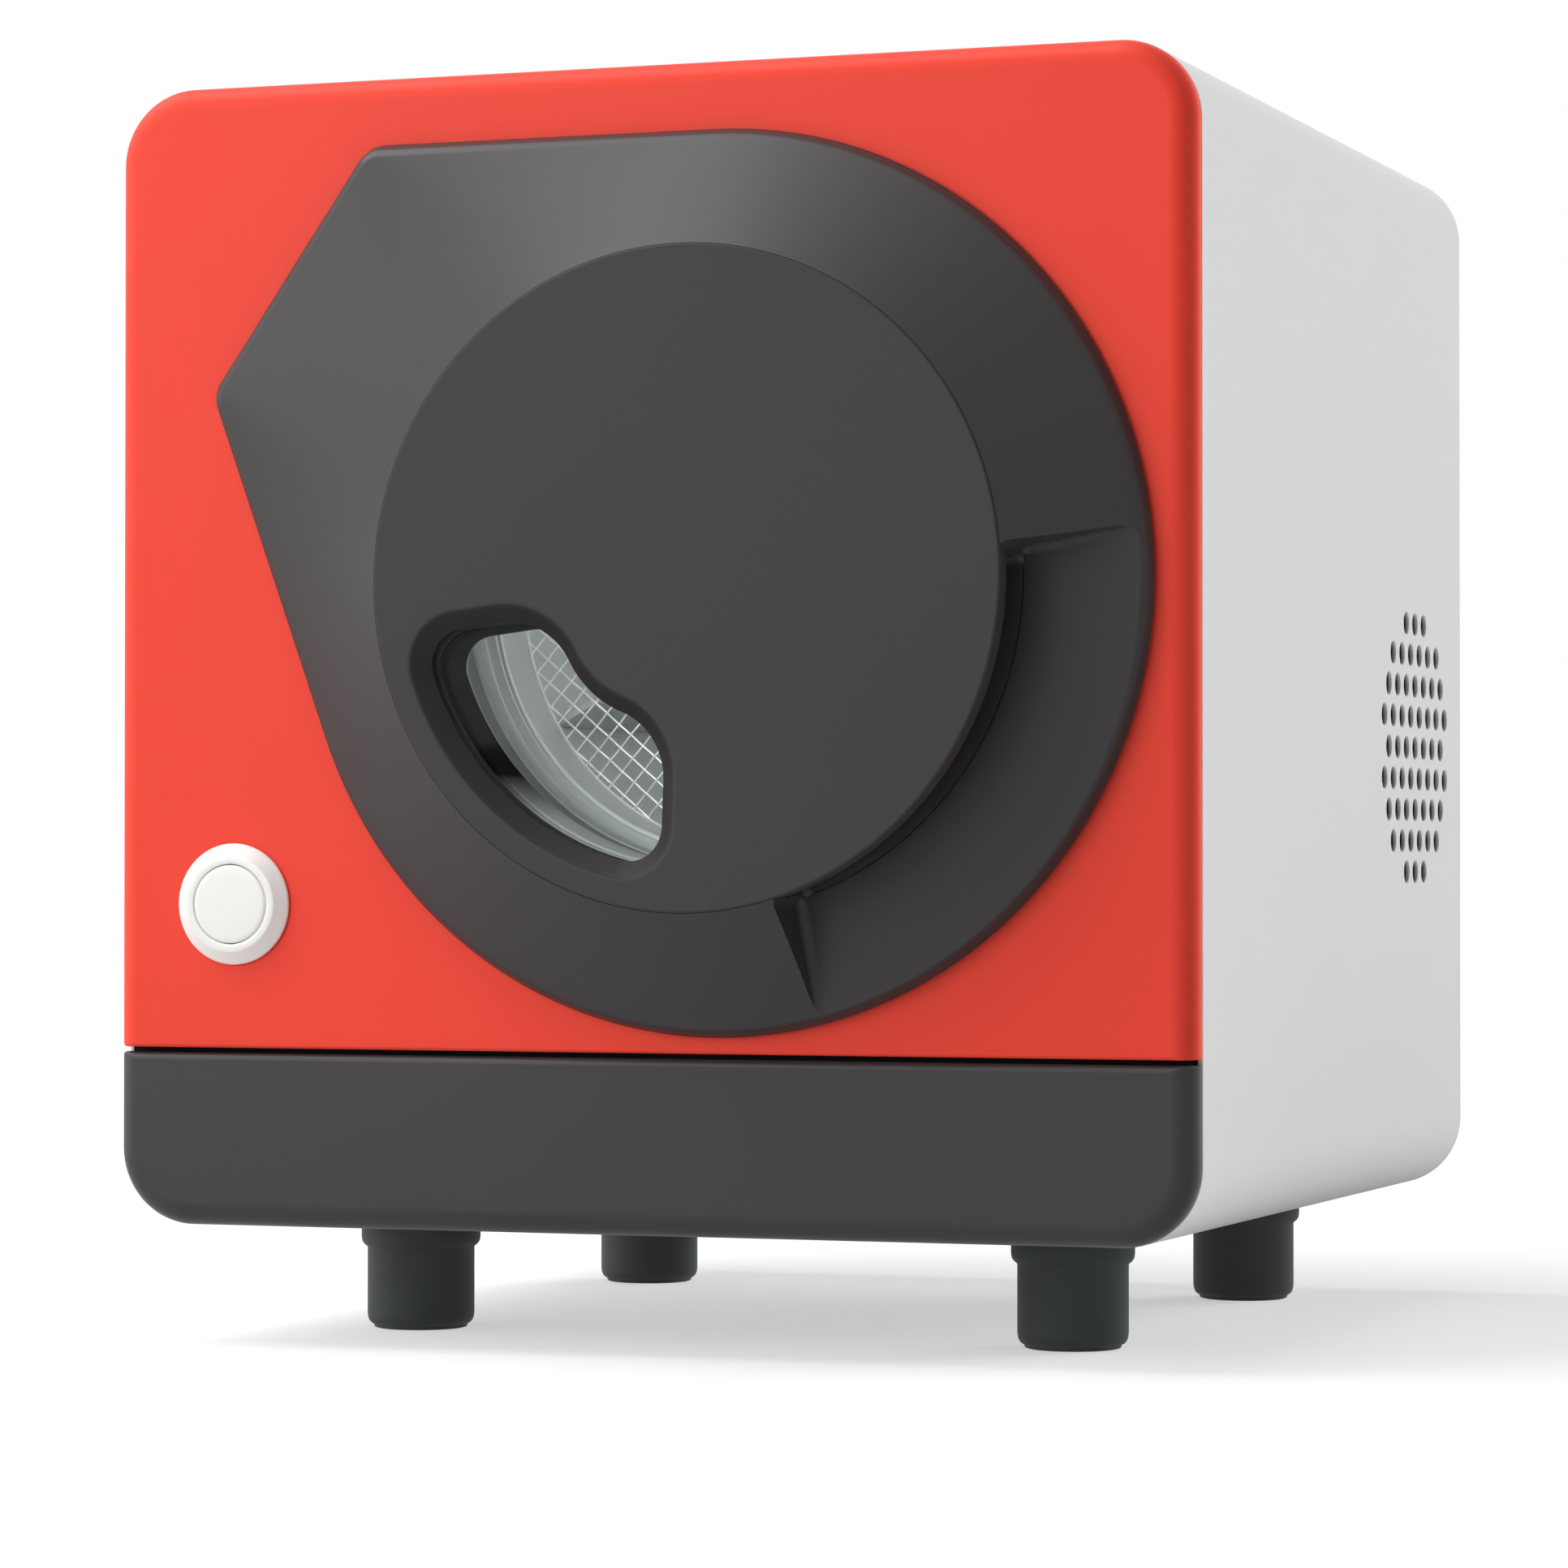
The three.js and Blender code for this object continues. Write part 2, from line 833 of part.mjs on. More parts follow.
// The door's outline: a circle with two straight edges that run from it to the hinge edge.
// A smaller copy, drawn in by an inset, keeps the same number of points.
function doorOutline(inset) {
  const corner = Math.max(doorCornerRadius - inset, seatGap);
  const reach = doorHingeReach - inset;
  const start = doorHingeAngle + doorTangentAngle;
  const end = doorHingeAngle - doorTangentAngle + 360;
  const around = arc(0, 0, doorRadius - inset, start, end, steps.doorArc);
  const [hingeX, hingeZ] = polar(1, doorHingeAngle);
  const spot = (out, along) => [out * hingeX + along * hingeZ, out * hingeZ - along * hingeX];
  const tangent = radians(doorTangentAngle);
  const cornerOut = reach - corner;
  const cornerAlong = (doorRadius - inset - corner - cornerOut * Math.cos(tangent)) / Math.sin(tangent);
  const top = arc(
    ...spot(cornerOut, cornerAlong),
    corner,
    doorHingeAngle - doorTangentAngle,
    doorHingeAngle,
    steps.edge,
  );
  const left = arc(
    ...spot(cornerOut, -cornerAlong),
    corner,
    doorHingeAngle,
    doorHingeAngle + doorTangentAngle,
    steps.edge,
  );
  return [
    ...around,
    ...between(around[around.length - 1], top[0]),
    ...top,
    ...between(top[top.length - 1], left[0]),
    ...left,
    ...between(left[left.length - 1], around[0]),
  ];
}

// The inner points of a straight edge.
function between([x0, z0], [x1, z1]) {
  const points = [];
  for (let i = 1; i < steps.doorEdge; i += 1) {
    const share = i / steps.doorEdge;
    points.push([x0 + (x1 - x0) * share, z0 + (z1 - z0) * share]);
  }
  return points;
}

function doorBody() {
  const rimTop = doorBack + doorRimHeight;
  const slopeStart = rimTop + doorRimRound;
  const outer = doorOutline(doorRimDraft + doorRimInsetShare * doorRimRound);
  const level = (inset, y) => doorOutline(inset).map(([x, z]) => [x, -y, z]);
  const slopeAt = (share, radius, top) => outer.map(([x, z]) => {
    const stretch = 1 + (radius / Math.hypot(x, z) - 1) * share;
    return [x * stretch, -slopeStart - (top - slopeStart) * share, z * stretch];
  });
  const edge = [discRadius + seatGap, doorFace - discProud];
  return loft([
    level(0, doorBack),
    level(doorRimDraft, rimTop),
    level(
      doorRimDraft + doorRimMiddleInsetShare * doorRimRound,
      rimTop + doorRimMiddleRiseShare * doorRimRound,
    ),
    slopeAt(0, ...edge),
    slopeAt(1 / 3, ...edge),
    slopeAt(2 / 3, ...edge),
    slopeAt(1, ...edge),
    slopeAt(1, discRadius - discThickness, doorFace),
  ]);
}

// The window's outline: part of a ring with rounded ends and a waist on its inner side.
function windowOutline(inset) {
  const cornerReach = windowReach - windowCorner;
  const cornerAngle = windowHalfAngle - THREE.MathUtils.radToDeg(Math.asin(windowCorner / cornerReach));
  const lobeAngle = windowHalfAngle - THREE.MathUtils.radToDeg(Math.asin(windowLobe / windowLobeReach));
  const corner = polar(cornerReach, cornerAngle);
  const lobe = polar(windowLobeReach, lobeAngle);
  const waistSpan = Math.hypot(lobe[0] - windowWaistReach, lobe[1]);
  const waistAngle = THREE.MathUtils.radToDeg(Math.atan2(lobe[1], lobe[0] - windowWaistReach));
  const endAngle = windowHalfAngle + 90;
  const half = [
    ...arc(0, 0, windowReach - inset, 0, cornerAngle, steps.window),
    ...arc(...corner, windowCorner - inset, cornerAngle, endAngle, steps.window).slice(1),
    ...arc(...lobe, windowLobe - inset, endAngle, waistAngle + 180, steps.window),
    ...arc(windowWaistReach, 0, waistSpan - windowLobe + inset, waistAngle, 0, steps.window).slice(1),
  ];
  const mirrored = half.slice(1, -1).reverse().map(([x, z]) => [x, -z]);
  const [cosine, sine] = polar(1, windowAngle);
  return [...half, ...mirrored].map(([x, z]) => [x * cosine - z * sine, x * sine + z * cosine]);
}

const discBack = doorFace - discThickness;
const pocketFloor = discBack - seatGap;
const rebateFloor = doorFace - windowBevel;
const gasketFront = rebateFloor - seatGap;
const glassFront = gasketFront - gasketThickness - seatGap;
const glassBack = glassFront - glassThickness;
const cavityFloor = doorBack + cavityDepth;
const linerFront = cavityFloor - seatGap;
const glassInset = windowBevel - glassLedge;

function doorShell() {
  const body = doorBody();
  const ringCut = turned([
    [recessUndercut, -recessFloorInner],
    [recessRim, -recessFloorOuter],
    [recessRim + doorFace, -recessFloorOuter],
    [recessRim + doorFace, -doorFace - overrun],
    [recessUndercut, -doorFace - overrun],
    [recessUndercut, -recessFloorInner],
  ], sides.large);
  const reach = 2 * doorRadius;
  const sector = [
    [0, 0],
    polar(reach, recessStart),
    polar(reach, (recessStart + recessEnd) / 2),
    polar(reach, recessEnd),
  ];
  const wedge = depthwise(sector, -doorFace - 2 * overrun, overrun);
  const [catchX, catchZ] = polar(magnetReach, catchAngle);
  const magnetDepth = doorBack + magnetThickness + 2 * seatGap;
  return cut(
    body,
    cylinder(discRadius + seatGap, -doorFace - 2 * overrun, -pocketFloor, sides.large),
    ringCut.intersect(wedge),
    depthwise(windowOutline(glassInset - seatGap), -doorFace, -glassBack + seatGap),
    depthwise(windowOutline(windowBevel), -doorFace, 0),
    cylinder(cavityRadius, -cavityFloor, 0, sides.large),
    ring(sealInner - seatGap, sealOuter + seatGap, -doorBack - sealRecess, 0, sides.large),
    cylinder(magnetRadius + seatGap, -magnetDepth, 0, sides.small, catchX, catchZ),
    ...hingeCuts().map((tool) => moved(tool, -axisX, 0, -axisZ)),
  );
}

function doorDisc() {
  const back = -discBack;
  const face = -doorFace;
  const plate = turned([
    [0, face],
    [discRadius - discRound, face],
    [discRadius - discRound / 4, face + discRound / 4],
    [discRadius, face + discRound],
    [discRadius, back],
    [0, back],
  ], sides.large);
  const bevelAt = (inset, y) => windowOutline(inset).map(([x, z]) => [x, y, z]);
  const bevel = loft([
    bevelAt(-windowBevel, face - windowBevel),
    bevelAt(windowBevel, -rebateFloor),
    bevelAt(windowBevel, back + overrun),
  ]);
  const rebate = depthwise(windowOutline(glassInset - seatGap), -rebateFloor, back + overrun);
  return cut(plate, bevel, rebate);
}

function windowGlass() {
  return depthwise(windowOutline(glassInset), -glassFront, -glassBack);
}

function windowGasket() {
  const outer = depthwise(windowOutline(glassInset), -gasketFront, -gasketFront + gasketThickness);
  const inner = depthwise(windowOutline(glassInset + gasketWidth), -gasketFront - overrun, 0);
  return cut(outer, inner);
}

function doorLiner() {
  const plate = cylinder(
    cavityRadius - seatGap,
    -linerFront,
    -linerFront + linerThickness,
    sides.large,
  );
  return cut(plate, depthwise(windowOutline(windowBevel), -doorFace, 0));
}

function doorSeal() {
  const front = -doorBack - sealRecess + seatGap;
  return ring(sealInner, sealOuter, front, front + sealThickness, sides.large);
}

function doorMagnet() {
  const [x, z] = polar(magnetReach, catchAngle);
  const front = -doorBack - magnetThickness - seatGap;
  return cylinder(magnetRadius, front, front + magnetThickness, sides.small, x, z);
}

// Hinge: lengths along its edge, in depth, and out from the drum axis

const hingeAngle = doorHingeAngle - 90;
const hingeOut = doorHingeReach - hingeSetback;
const hingeDepth = -hingeSetback - hingeRise;
const hingeSpot = polar(hingeOut, doorHingeAngle);

function inHingeFrame(geometry) {
  const [alongX, alongZ] = polar(1, hingeAngle);
  const along = new THREE.Vector3(alongX, 0, alongZ);
  const out = new THREE.Vector3(-alongZ, 0, alongX);
  const frame = new THREE.Matrix4().makeBasis(along, new THREE.Vector3(0, 1, 0), out);
  geometry.applyMatrix4(frame);
  geometry.translate(axisX + hingeSpot[0], 0, axisZ + hingeSpot[1]);
  return solidOf(geometry);
}

function hingeBlock([a0, a1], [y0, y1], [out0, out1]) {
  const box = new THREE.BoxGeometry(a1 - a0, y1 - y0, out1 - out0);
  box.translate((a0 + a1) / 2, (y0 + y1) / 2, (out0 + out1) / 2);
  return inHingeFrame(box);
}

// A block that is turned about the pin, towards the front.
function hingeSlab([a0, a1], [y0, y1], [out0, out1], turn) {
  const box = new THREE.BoxGeometry(a1 - a0, y1 - y0, out1 - out0);
  box.translate((a0 + a1) / 2, (y0 + y1) / 2, (out0 + out1) / 2);
  box.rotateX(radians(turn));
  box.translate(0, hingeDepth, 0);
  return inHingeFrame(box);
}

function hingeRod(radius, from, to, count) {
  const rod = new THREE.CylinderGeometry(radius, radius, to - from, count);
  rod.rotateZ(Math.PI / 2);
  rod.translate((from + to) / 2, hingeDepth, 0);
  return inHingeFrame(rod);
}

function knucklePlaces() {
  return [-knuckleSpacing / 2, knuckleSpacing / 2];
}

// What the hinge takes out of the door: the bore for the pin, a round gap for each knuckle with
// the room that its leg needs while the door swings, and the back corner, which is rounded about
// the pin so that it turns clear of the panel. The door's face still covers the knuckles.
function hingeCuts() {
  const reach = doorHingeReach;
  const corner = hingeBlock([-reach, reach], [hingeDepth, overrun], [0, reach]);
  const rounded = cut(corner, hingeRod(hingeSetback, -reach - overrun, reach + overrun, sides.small));
  const half = knuckleWidth / 2 + seatGap;
  const legHalf = hingeLegThickness / 2 + seatGap;
  const gaps = knucklePlaces().flatMap((along) => [
    hingeRod(hingeRadius + seatGap, along - half, along + half, sides.medium),
    hingeBlock([along - half, along + half], [hingeDepth, overrun], [-legHalf, reach]),
    hingeSlab([along - half, along + half], [-legHalf, legHalf], [0, reach], hingeSwing),
  ]);
  const boreHalf = hingePinHalf + seatGap;
  const bore = hingeRod(hingePinRadius + seatGap, -boreHalf, boreHalf, sides.small);
  return [rounded, bore, ...gaps];
}

function hingeBracket(along) {
  const [from, to] = [along - knuckleWidth / 2, along + knuckleWidth / 2];
  const footBack = coverDepth;
  const footTop = footBack - hingeFootThickness;
  const barrel = hingeRod(hingeRadius, from, to, sides.small);
  const leg = hingeBlock(
    [from, to],
    [hingeDepth, footTop + hingeFootThickness / 2],
    [-hingeLegThickness / 2, hingeLegThickness / 2],
  );
  const base = hingeBlock(
    [along - hingeFootWidth / 2, along + hingeFootWidth / 2],
    [footTop, footBack],
    [-hingeFootLength / 2, hingeFootLength / 2],
  );
  const bore = hingePinRadius + seatGap;
  return cut(fuse(barrel, leg, base), hingeRod(bore, from - overrun, to + overrun, sides.small));
}

function hingePin() {
  return hingeRod(hingePinRadius, -hingePinHalf, hingePinHalf, sides.vent);
}

function strikePlate() {
  const [x, z] = polar(magnetReach, catchAngle);
  return cylinder(strikeRadius, seatGap, seatGap + strikeThickness, sides.medium, x, z);
}

// Start button, drawn about its own axis

const capFront = -buttonProud - buttonCapProud;
const capBack = capFront + buttonCapThickness;
const stemEnd = capBack + buttonStemLength;
const switchFront = stemEnd + buttonTravel + seatGap;
const springFront = capBack + seatGap;

function buttonRing() {
  const bore = buttonCapRadius + seatGap;
  return turned([
    [bore, -buttonProud],
    [buttonFaceRadius, -buttonProud],
    [buttonBaseRadius, -seatGap - buttonProud / 4],
    [buttonBaseRadius, -seatGap],
    [buttonBarrelRadius, -seatGap],
    [buttonBarrelRadius, buttonBarrelLength],
    [bore, buttonBarrelLength],
    [bore, -buttonProud],
  ], sides.medium);
}

function buttonCap() {
  const edge = buttonCapProud;
  return turned([
    [0, capFront],
    [buttonCapRadius - edge, capFront],
    [buttonCapRadius, capFront + edge],
    [buttonCapRadius, capBack],
    [buttonStemRadius, capBack],
    [buttonStemRadius, stemEnd],
    [0, stemEnd],
  ], sides.medium);
}

function buttonSpring() {
  const low = springFront + buttonWireRadius;
  const high = switchFront - seatGap - buttonWireRadius;
  const count = spring.turns * spring.steps;
  const points = [];
  for (let i = 0; i <= count; i += 1) {
    const turn = (2 * Math.PI * i) / spring.steps;
    points.push([
      buttonCoilRadius * Math.cos(turn),
      low + ((high - low) * i) / count,
      buttonCoilRadius * Math.sin(turn),
    ]);
  }
  return bar(points, buttonWireRadius, spring.sides);
}

function buttonSwitch() {
  const bore = buttonCapRadius + seatGap;
  return turned([
    [0, switchFront],
    [bore - seatGap, switchFront],
    [bore - seatGap, buttonBarrelLength + seatGap],
    [buttonBarrelRadius, buttonBarrelLength + seatGap],
    [buttonBarrelRadius, buttonBarrelLength + buttonNutThickness],
    [buttonStemRadius, buttonBarrelLength + buttonNutThickness],
    [buttonStemRadius, buttonBarrelLength + 2 * buttonNutThickness],
    [0, buttonBarrelLength + 2 * buttonNutThickness],
  ], sides.small);
}

function buttonNut() {
  const front = frontPlateBack + seatGap;
  const outline = arc(0, 0, buttonNutRadius, 0, 360 - 360 / nutSides, nutSides - 1);
  const back = front + buttonNutThickness;
  const bore = buttonBarrelRadius + seatGap;
  return cut(
    depthwise(outline, front, back),
    cylinder(bore, front - overrun, back + overrun, sides.medium),
  );
}

// Chamber, drawn about the drum axis

function chamberMouth() {
  const flange = chamberInner - seatGap;
  const rim = (mouthOuter - mouthInner) / 3;
  return turned([
    [mouthInner, -mouthRim + rim],
    [mouthInner + rim, -mouthRim],
    [mouthOuter - rim, -mouthRim],
    [mouthOuter, -mouthRim + rim],
    [mouthOuter, mouthEnd - mouthFlange],
    [flange, mouthEnd - mouthFlange],
    [flange, mouthEnd],
    [mouthInnerRear, mouthEnd],
    [mouthInner, -mouthRim + rim],
  ], sides.large);
}

const chamberFront = frontPlateBack + seatGap;
const chamberBack = rearPlateFront - seatGap;
const chamberOuter = chamberInner + chamberWall;

function chamberShell() {
  const shell = turned([
    [0, chamberBack],
    [chamberOuter, chamberBack],
    [chamberOuter, chamberFront + chamberWall],
    [chamberOuter + chamberFlange, chamberFront + chamberWall],
    [chamberOuter + chamberFlange, chamberFront],
    [chamberInner, chamberFront],
    [chamberInner, chamberBack - chamberWall],
    [0, chamberBack - chamberWall],
  ], sides.large);
  const ports = rearPorts(chamberBack - chamberWall, chamberBack);
  return cut(shell, ...ports.map((port) => moved(port, -axisX, 0, -axisZ)));
}

function chamberInsulation() {
  const front = chamberFront + chamberWall + insulationGap;
  return ring(insulationInner, insulationOuter, front, rearPlateFront - insulationGap, sides.large);
}

// A hairpin bar that follows the drum's curve: two legs joined by a bend at the front.
function heatingElement(angle) {
  const points = [];
  const rear = rearPlateFront + elementTail;
  const place = (turn, y) => {
    const [x, z] = polar(rodReach, angle + turn);
    points.push([x, y, z]);
  };
  place(-elementHalfAngle, rear);
  for (let i = 0; i <= elementSteps; i += 1) {
    const turn = (Math.PI * i) / elementSteps;
    place(-elementHalfAngle * Math.cos(turn), elementFront - elementBend * Math.sin(turn));
  }
  place(elementHalfAngle, rear);
  return bar(points, elementRadius, elementSides);
}

function rod(radius, length, tail, angle) {
  const [x, z] = polar(rodReach, angle);
  const rear = rearPlateFront + tail;
  const front = rear - length;
  return turned([
    [0, front],
    [radius - rodRound, front],
    [radius, front + rodRound],
    [radius, rear],
    [0, rear],
  ], sides.small, x, z);
}

// Drum, drawn about its own axis

const drumInner = drumRadius - drumWall;
const screenBack = drumScreenFront + drumScreenThickness;
const drumWallFront = screenBack + seatGap;
const drumBackFront = drumRear + seatGap;
const drumBackRear = drumBackFront + drumBackThickness;
const shaftFlangeFront = drumBackRear + seatGap;
const gearBack = gearFront + gearWidth;

function drumFrontRing() {
  const back = drumScreenFront - seatGap;
  const inner = drumRadius - ringWall;
  return turned([
    [drumRadius - ringLip / 2, drumFront],
    [drumRadius, drumFront + ringLip],
    [drumRadius, back],
    [inner, back],
    [inner, drumFront + ringLip],
    [drumRadius - ringLip / 2, drumFront],
  ], sides.large);
}

// A round screen of crossing wires between an outer rim and the rim of the charge hole.
function drumFrontScreen() {
  const radius = drumRadius - seatGap;
  const [front, back] = [drumScreenFront, screenBack];
  const clear = cylinder(radius - screenRim, front - overrun, back + overrun, sides.large);
  const hub = cylinder(chargeRadius + chargeRim, front - overrun, back + overrun, sides.medium);
  const half = (screenPitch - screenWire) / 2;
  const count = Math.ceil(radius / screenPitch);
  let gaps = null;
  for (let row = -count; row < count; row += 1) {
    for (let column = -count; column < count; column += 1) {
      const x = (column + 1 / 2) * screenPitch;
      const z = (row + 1 / 2) * screenPitch;
      const reach = Math.hypot(x, z);
      if (reach < radius + half && reach > chargeRadius - half) {
        const gap = block([x - half, x + half], [front - overrun, back + overrun], [z - half, z + half]);
        gaps = gaps ? gaps.add(gap) : gap;
      }
    }
  }
  const openings = gaps.intersect(clear).subtract(hub);
  const plate = ring(chargeRadius, radius, front, back, sides.large);
  return cut(plate, openings.rotate([0, screenTurn, 0]));
}

function drumShell() {
  return ring(drumInner, drumRadius, drumWallFront, drumRear, sides.large);
}

function drumBackPlate() {
  return cylinder(drumRadius, drumBackFront, drumBackRear, sides.large);
}

function drumVane(angle) {
  const outer = drumInner - seatGap;
  const inner = outer - vaneHeight;
  const half = vaneThickness / 2;
  const [x, z] = polar(1, angle);
  const spot = (reach, side) => [reach * x - side * z, reach * z + side * x];
  const outline = [spot(inner, -half), spot(outer, -half), spot(outer, half), spot(inner, half)];
  return depthwise(outline, drumWallFront + vaneMargin, drumRear - vaneMargin);
}

function drumShaft() {
  const flangeBack = shaftFlangeFront + shaftFlangeThickness;
  const end = gearBack + shaftTail;
  return turned([
    [0, shaftFlangeFront],
    [shaftFlangeRadius, shaftFlangeFront],
    [shaftFlangeRadius, flangeBack],
    [shaftRadius, flangeBack],
    [shaftRadius, end],
    [0, end],
  ], sides.medium);
}

function drumBearing() {
  const flangeFront = rearPlateBack + seatGap;
  const flangeBack = flangeFront + bearingFlangeThickness;
  const body = portRadius - seatGap;
  const bore = shaftRadius + seatGap;
  return turned([
    [bore, flangeBack - bearingLength],
    [body, flangeBack - bearingLength],
    [body, flangeFront],
    [bearingFlangeRadius, flangeFront],
    [bearingFlangeRadius, flangeBack],
    [bore, flangeBack],
    [bore, flangeBack - bearingLength],
  ], sides.medium);
}

// Drive

// A gear outline with straight-sided teeth; a tooth points along the start angle.
function gearOutline(teeth, startAngle) {
  const pitchRadius = (gearModule * teeth) / 2;
  const tip = pitchRadius + gearAddendum;
  const root = pitchRadius - gearDedendum;
  const pitchHalf = (Math.PI * gearModule - gearBacklash) / 4;
  const slant = Math.tan(radians(gearFlankAngle));
  const angleOf = (half, radius) => THREE.MathUtils.radToDeg(half / radius);
  const tipHalf = angleOf(pitchHalf - gearAddendum * slant, tip);
  const rootHalf = angleOf(pitchHalf + gearDedendum * slant * gearRootShare, root);
  const points = [];
  for (let i = 0; i < teeth; i += 1) {
    const middle = startAngle + (360 * i) / teeth;
    points.push(
      polar(root, middle - rootHalf),
      polar(tip, middle - tipHalf),
      polar(tip, middle + tipHalf),
      polar(root, middle + rootHalf),
    );
  }
  return points;
}

const pinionReach = (gearModule * (gearTeeth + pinionTeeth)) / 2;
const pinionOffset = polar(pinionReach, driveAngle);

function drumGear() {
  const gear = depthwise(gearOutline(gearTeeth, driveAngle), gearFront, gearBack);
  const bore = shaftRadius + seatGap;
  return cut(gear, cylinder(bore, gearFront - overrun, gearBack + overrun, sides.medium));
}

function drivePinion() {
  const facing = driveAngle + 180 + 180 / pinionTeeth;
  const wheel = depthwise(gearOutline(pinionTeeth, facing), gearFront, gearBack);
  const shaft = cylinder(pinionShaftRadius, gearFront, gearBack + pinionShaftLength, sides.small);
  return fuse(wheel, shaft);
}

// The bracket, the motor and the pinion are drawn about the pinion's axis.
function motorBracket() {
  const back = bracketFront + plateThickness;
  const plate = block([-bracketHalf, bracketHalf], [bracketFront, back], [-bracketHalf, bracketHalf]);
  const spots = [
    [-bracketReach, -bracketReach],
    [bracketReach, -bracketReach],
    [-bracketReach, bracketReach],
  ];
  const posts = spots.map(([x, z]) => (
    cylinder(bracketPostRadius, rearPlateBack + seatGap, back - plateThickness / 2, sides.small, x, z)
  ));
  const hole = pinionShaftRadius + runningGap;
  return cut(
    fuse(plate, ...posts),
    cylinder(hole, bracketFront - overrun, back + overrun, sides.small),
  );
}

function gearMotor() {
  const front = bracketFront + plateThickness + seatGap;
  const bore = pinionShaftRadius + runningGap;
  return turned([
    [0, front + motorBore],
    [bore, front + motorBore],
    [bore, front],
    [gearboxRadius, front],
    [gearboxRadius, front + gearboxLength],
    [motorRadius, front + gearboxLength],
    [motorRadius, front + gearboxLength + motorLength],
    [0, front + gearboxLength + motorLength],
  ], sides.medium);
}

// Exhaust

const fanBack = rearPanelFront - seatGap;
const fanFront = fanBack - fanDepth;

function exhaustDuct() {
  const front = rearPlateFront;
  return ring(ductRadius - ductWall, ductRadius, front, fanFront - seatGap, sides.medium);
}

// The frame, the boss and the blades are drawn about the fan's axis.
function fanFrame() {
  const half = fanSize / 2;
  const bossFront = fanBack - fanBossDepth;
  const frame = cut(
    block([-half, half], [fanFront, fanBack], [-half, half]),
    cylinder(fanBore, fanFront - overrun, fanBack + overrun, sides.large),
  );
  const strutFront = fanBack - strutDepth;
  const reach = fanBore + strutWidth / 2;
  return fuse(
    frame,
    block([-reach, reach], [strutFront, fanBack], [-strutWidth / 2, strutWidth / 2]),
    block([-strutWidth / 2, strutWidth / 2], [strutFront, fanBack], [-reach, reach]),
    cylinder(fanHub - seatGap, bossFront, fanBack, sides.medium),
    cylinder(fanAxleRadius, fanFront + strutDepth, fanBack, sides.small),
  );
}

function fanImpeller() {
  const hubBack = fanBack - fanBossDepth - runningGap;
  const hubFront = fanFront + runningGap;
  const tip = fanBore - 2 * runningGap;
  const bladeMiddle = (hubFront + hubBack) / 2;
  const blades = [];
  for (let i = 0; i < fanBlades; i += 1) {
    const blade = new THREE.BoxGeometry(tip - fanHub / 2, bladeDepth, bladeThickness);
    blade.rotateX(radians(bladePitch));
    blade.translate((tip + fanHub / 2) / 2, bladeMiddle, 0);
    blade.rotateY((2 * Math.PI * i) / fanBlades);
    blades.push(solidOf(blade));
  }
  const limits = cylinder(tip, hubFront, hubBack, sides.large);
  const hub = cylinder(fanHub, hubFront, hubBack, sides.medium);
  const axle = cylinder(fanAxleRadius + runningGap, fanFront + strutDepth / 2, fanBack, sides.small);
  return cut(fuse(hub, ...blades).intersect(limits), axle);
}

// Electronics

function inletSocket() {
  const back = rearPanelBack + seatGap + inletFlangeThickness;
  const body = block(
    [-inletWidth / 2, inletWidth / 2],
    [back - inletDepth, back],
    [-inletHeight / 2, inletHeight / 2],
  );
  const flange = block(
    [-inletWidth / 2 - inletFlange, inletWidth / 2 + inletFlange],
    [back - inletFlangeThickness, back],
    [-inletHeight / 2, inletHeight / 2],
  );
  const hollow = block(
    [-inletWidth / 2 + inletWall, inletWidth / 2 - inletWall],
    [back - inletDepth + inletWall, back + overrun],
    [-inletHeight / 2 + inletWall, inletHeight / 2 - inletWall],
  );
  const floor = back - inletDepth + inletWall;
  const pins = [[-inletPinSpacing, 0], [0, -inletPinWidth], [inletPinSpacing, 0]].map(([x, z]) => block(
    [x - inletPinWidth / 2, x + inletPinWidth / 2],
    [floor - inletWall / 2, floor + inletPinLength],
    [z - inletPinDrop, z + inletPinRise],
  ));
  return fuse(cut(fuse(body, flange), hollow), ...pins);
}

function controlBoard() {
  const legBottom = trayTop + seatGap;
  const low = legBottom + boardLegHeight;
  const high = low + boardThickness;
  const board = block([-boardWidth / 2, boardWidth / 2], [-boardDepth / 2, boardDepth / 2], [low, high]);
  const legX = boardWidth / 2 - boardLegInset;
  const legY = boardDepth / 2 - boardLegInset;
  const onTop = high - boardThickness / 2;
  const legs = [[-legX, -legY], [legX, -legY], [-legX, legY], [legX, legY]].map(([x, y]) => upright(
    [[0, legBottom], [boardLegRadius, legBottom], [boardLegRadius, onTop], [0, onTop]],
    sides.vent,
    x,
    y,
  ));
  const half = transformerSize / 2;
  const transformer = block(
    [-half, half],
    [-half, half],
    [onTop, high + transformerSize],
  );
  const capacitorTop = high + capacitorHeight;
  const capacitor = upright(
    [[0, onTop], [capacitorRadius, onTop], [capacitorRadius, capacitorTop], [0, capacitorTop]],
    sides.small,
    legX - capacitorRadius,
    0,
  );
  const relay = block(
    [-legX, -legX + relayWidth],
    [-relayWidth / 2, relayWidth / 2],
    [onTop, high + relayHeight],
  );
  return fuse(board, ...legs, transformer, capacitor, relay);
}

// Scene graph

function finish(colour, roughness, metalness, more = {}) {
  return new THREE.MeshStandardMaterial({ color: colour, roughness, metalness, ...more });
}

function add(group, name, solid, material) {
  const mesh = new THREE.Mesh(geometryOf(solid), material);
  mesh.name = name;
  group.add(mesh);
  return mesh;
}

function groupAt(parent, x, y, z) {
  const group = new THREE.Group();
  group.position.set(x, y, z);
  parent.add(group);
  return group;
}

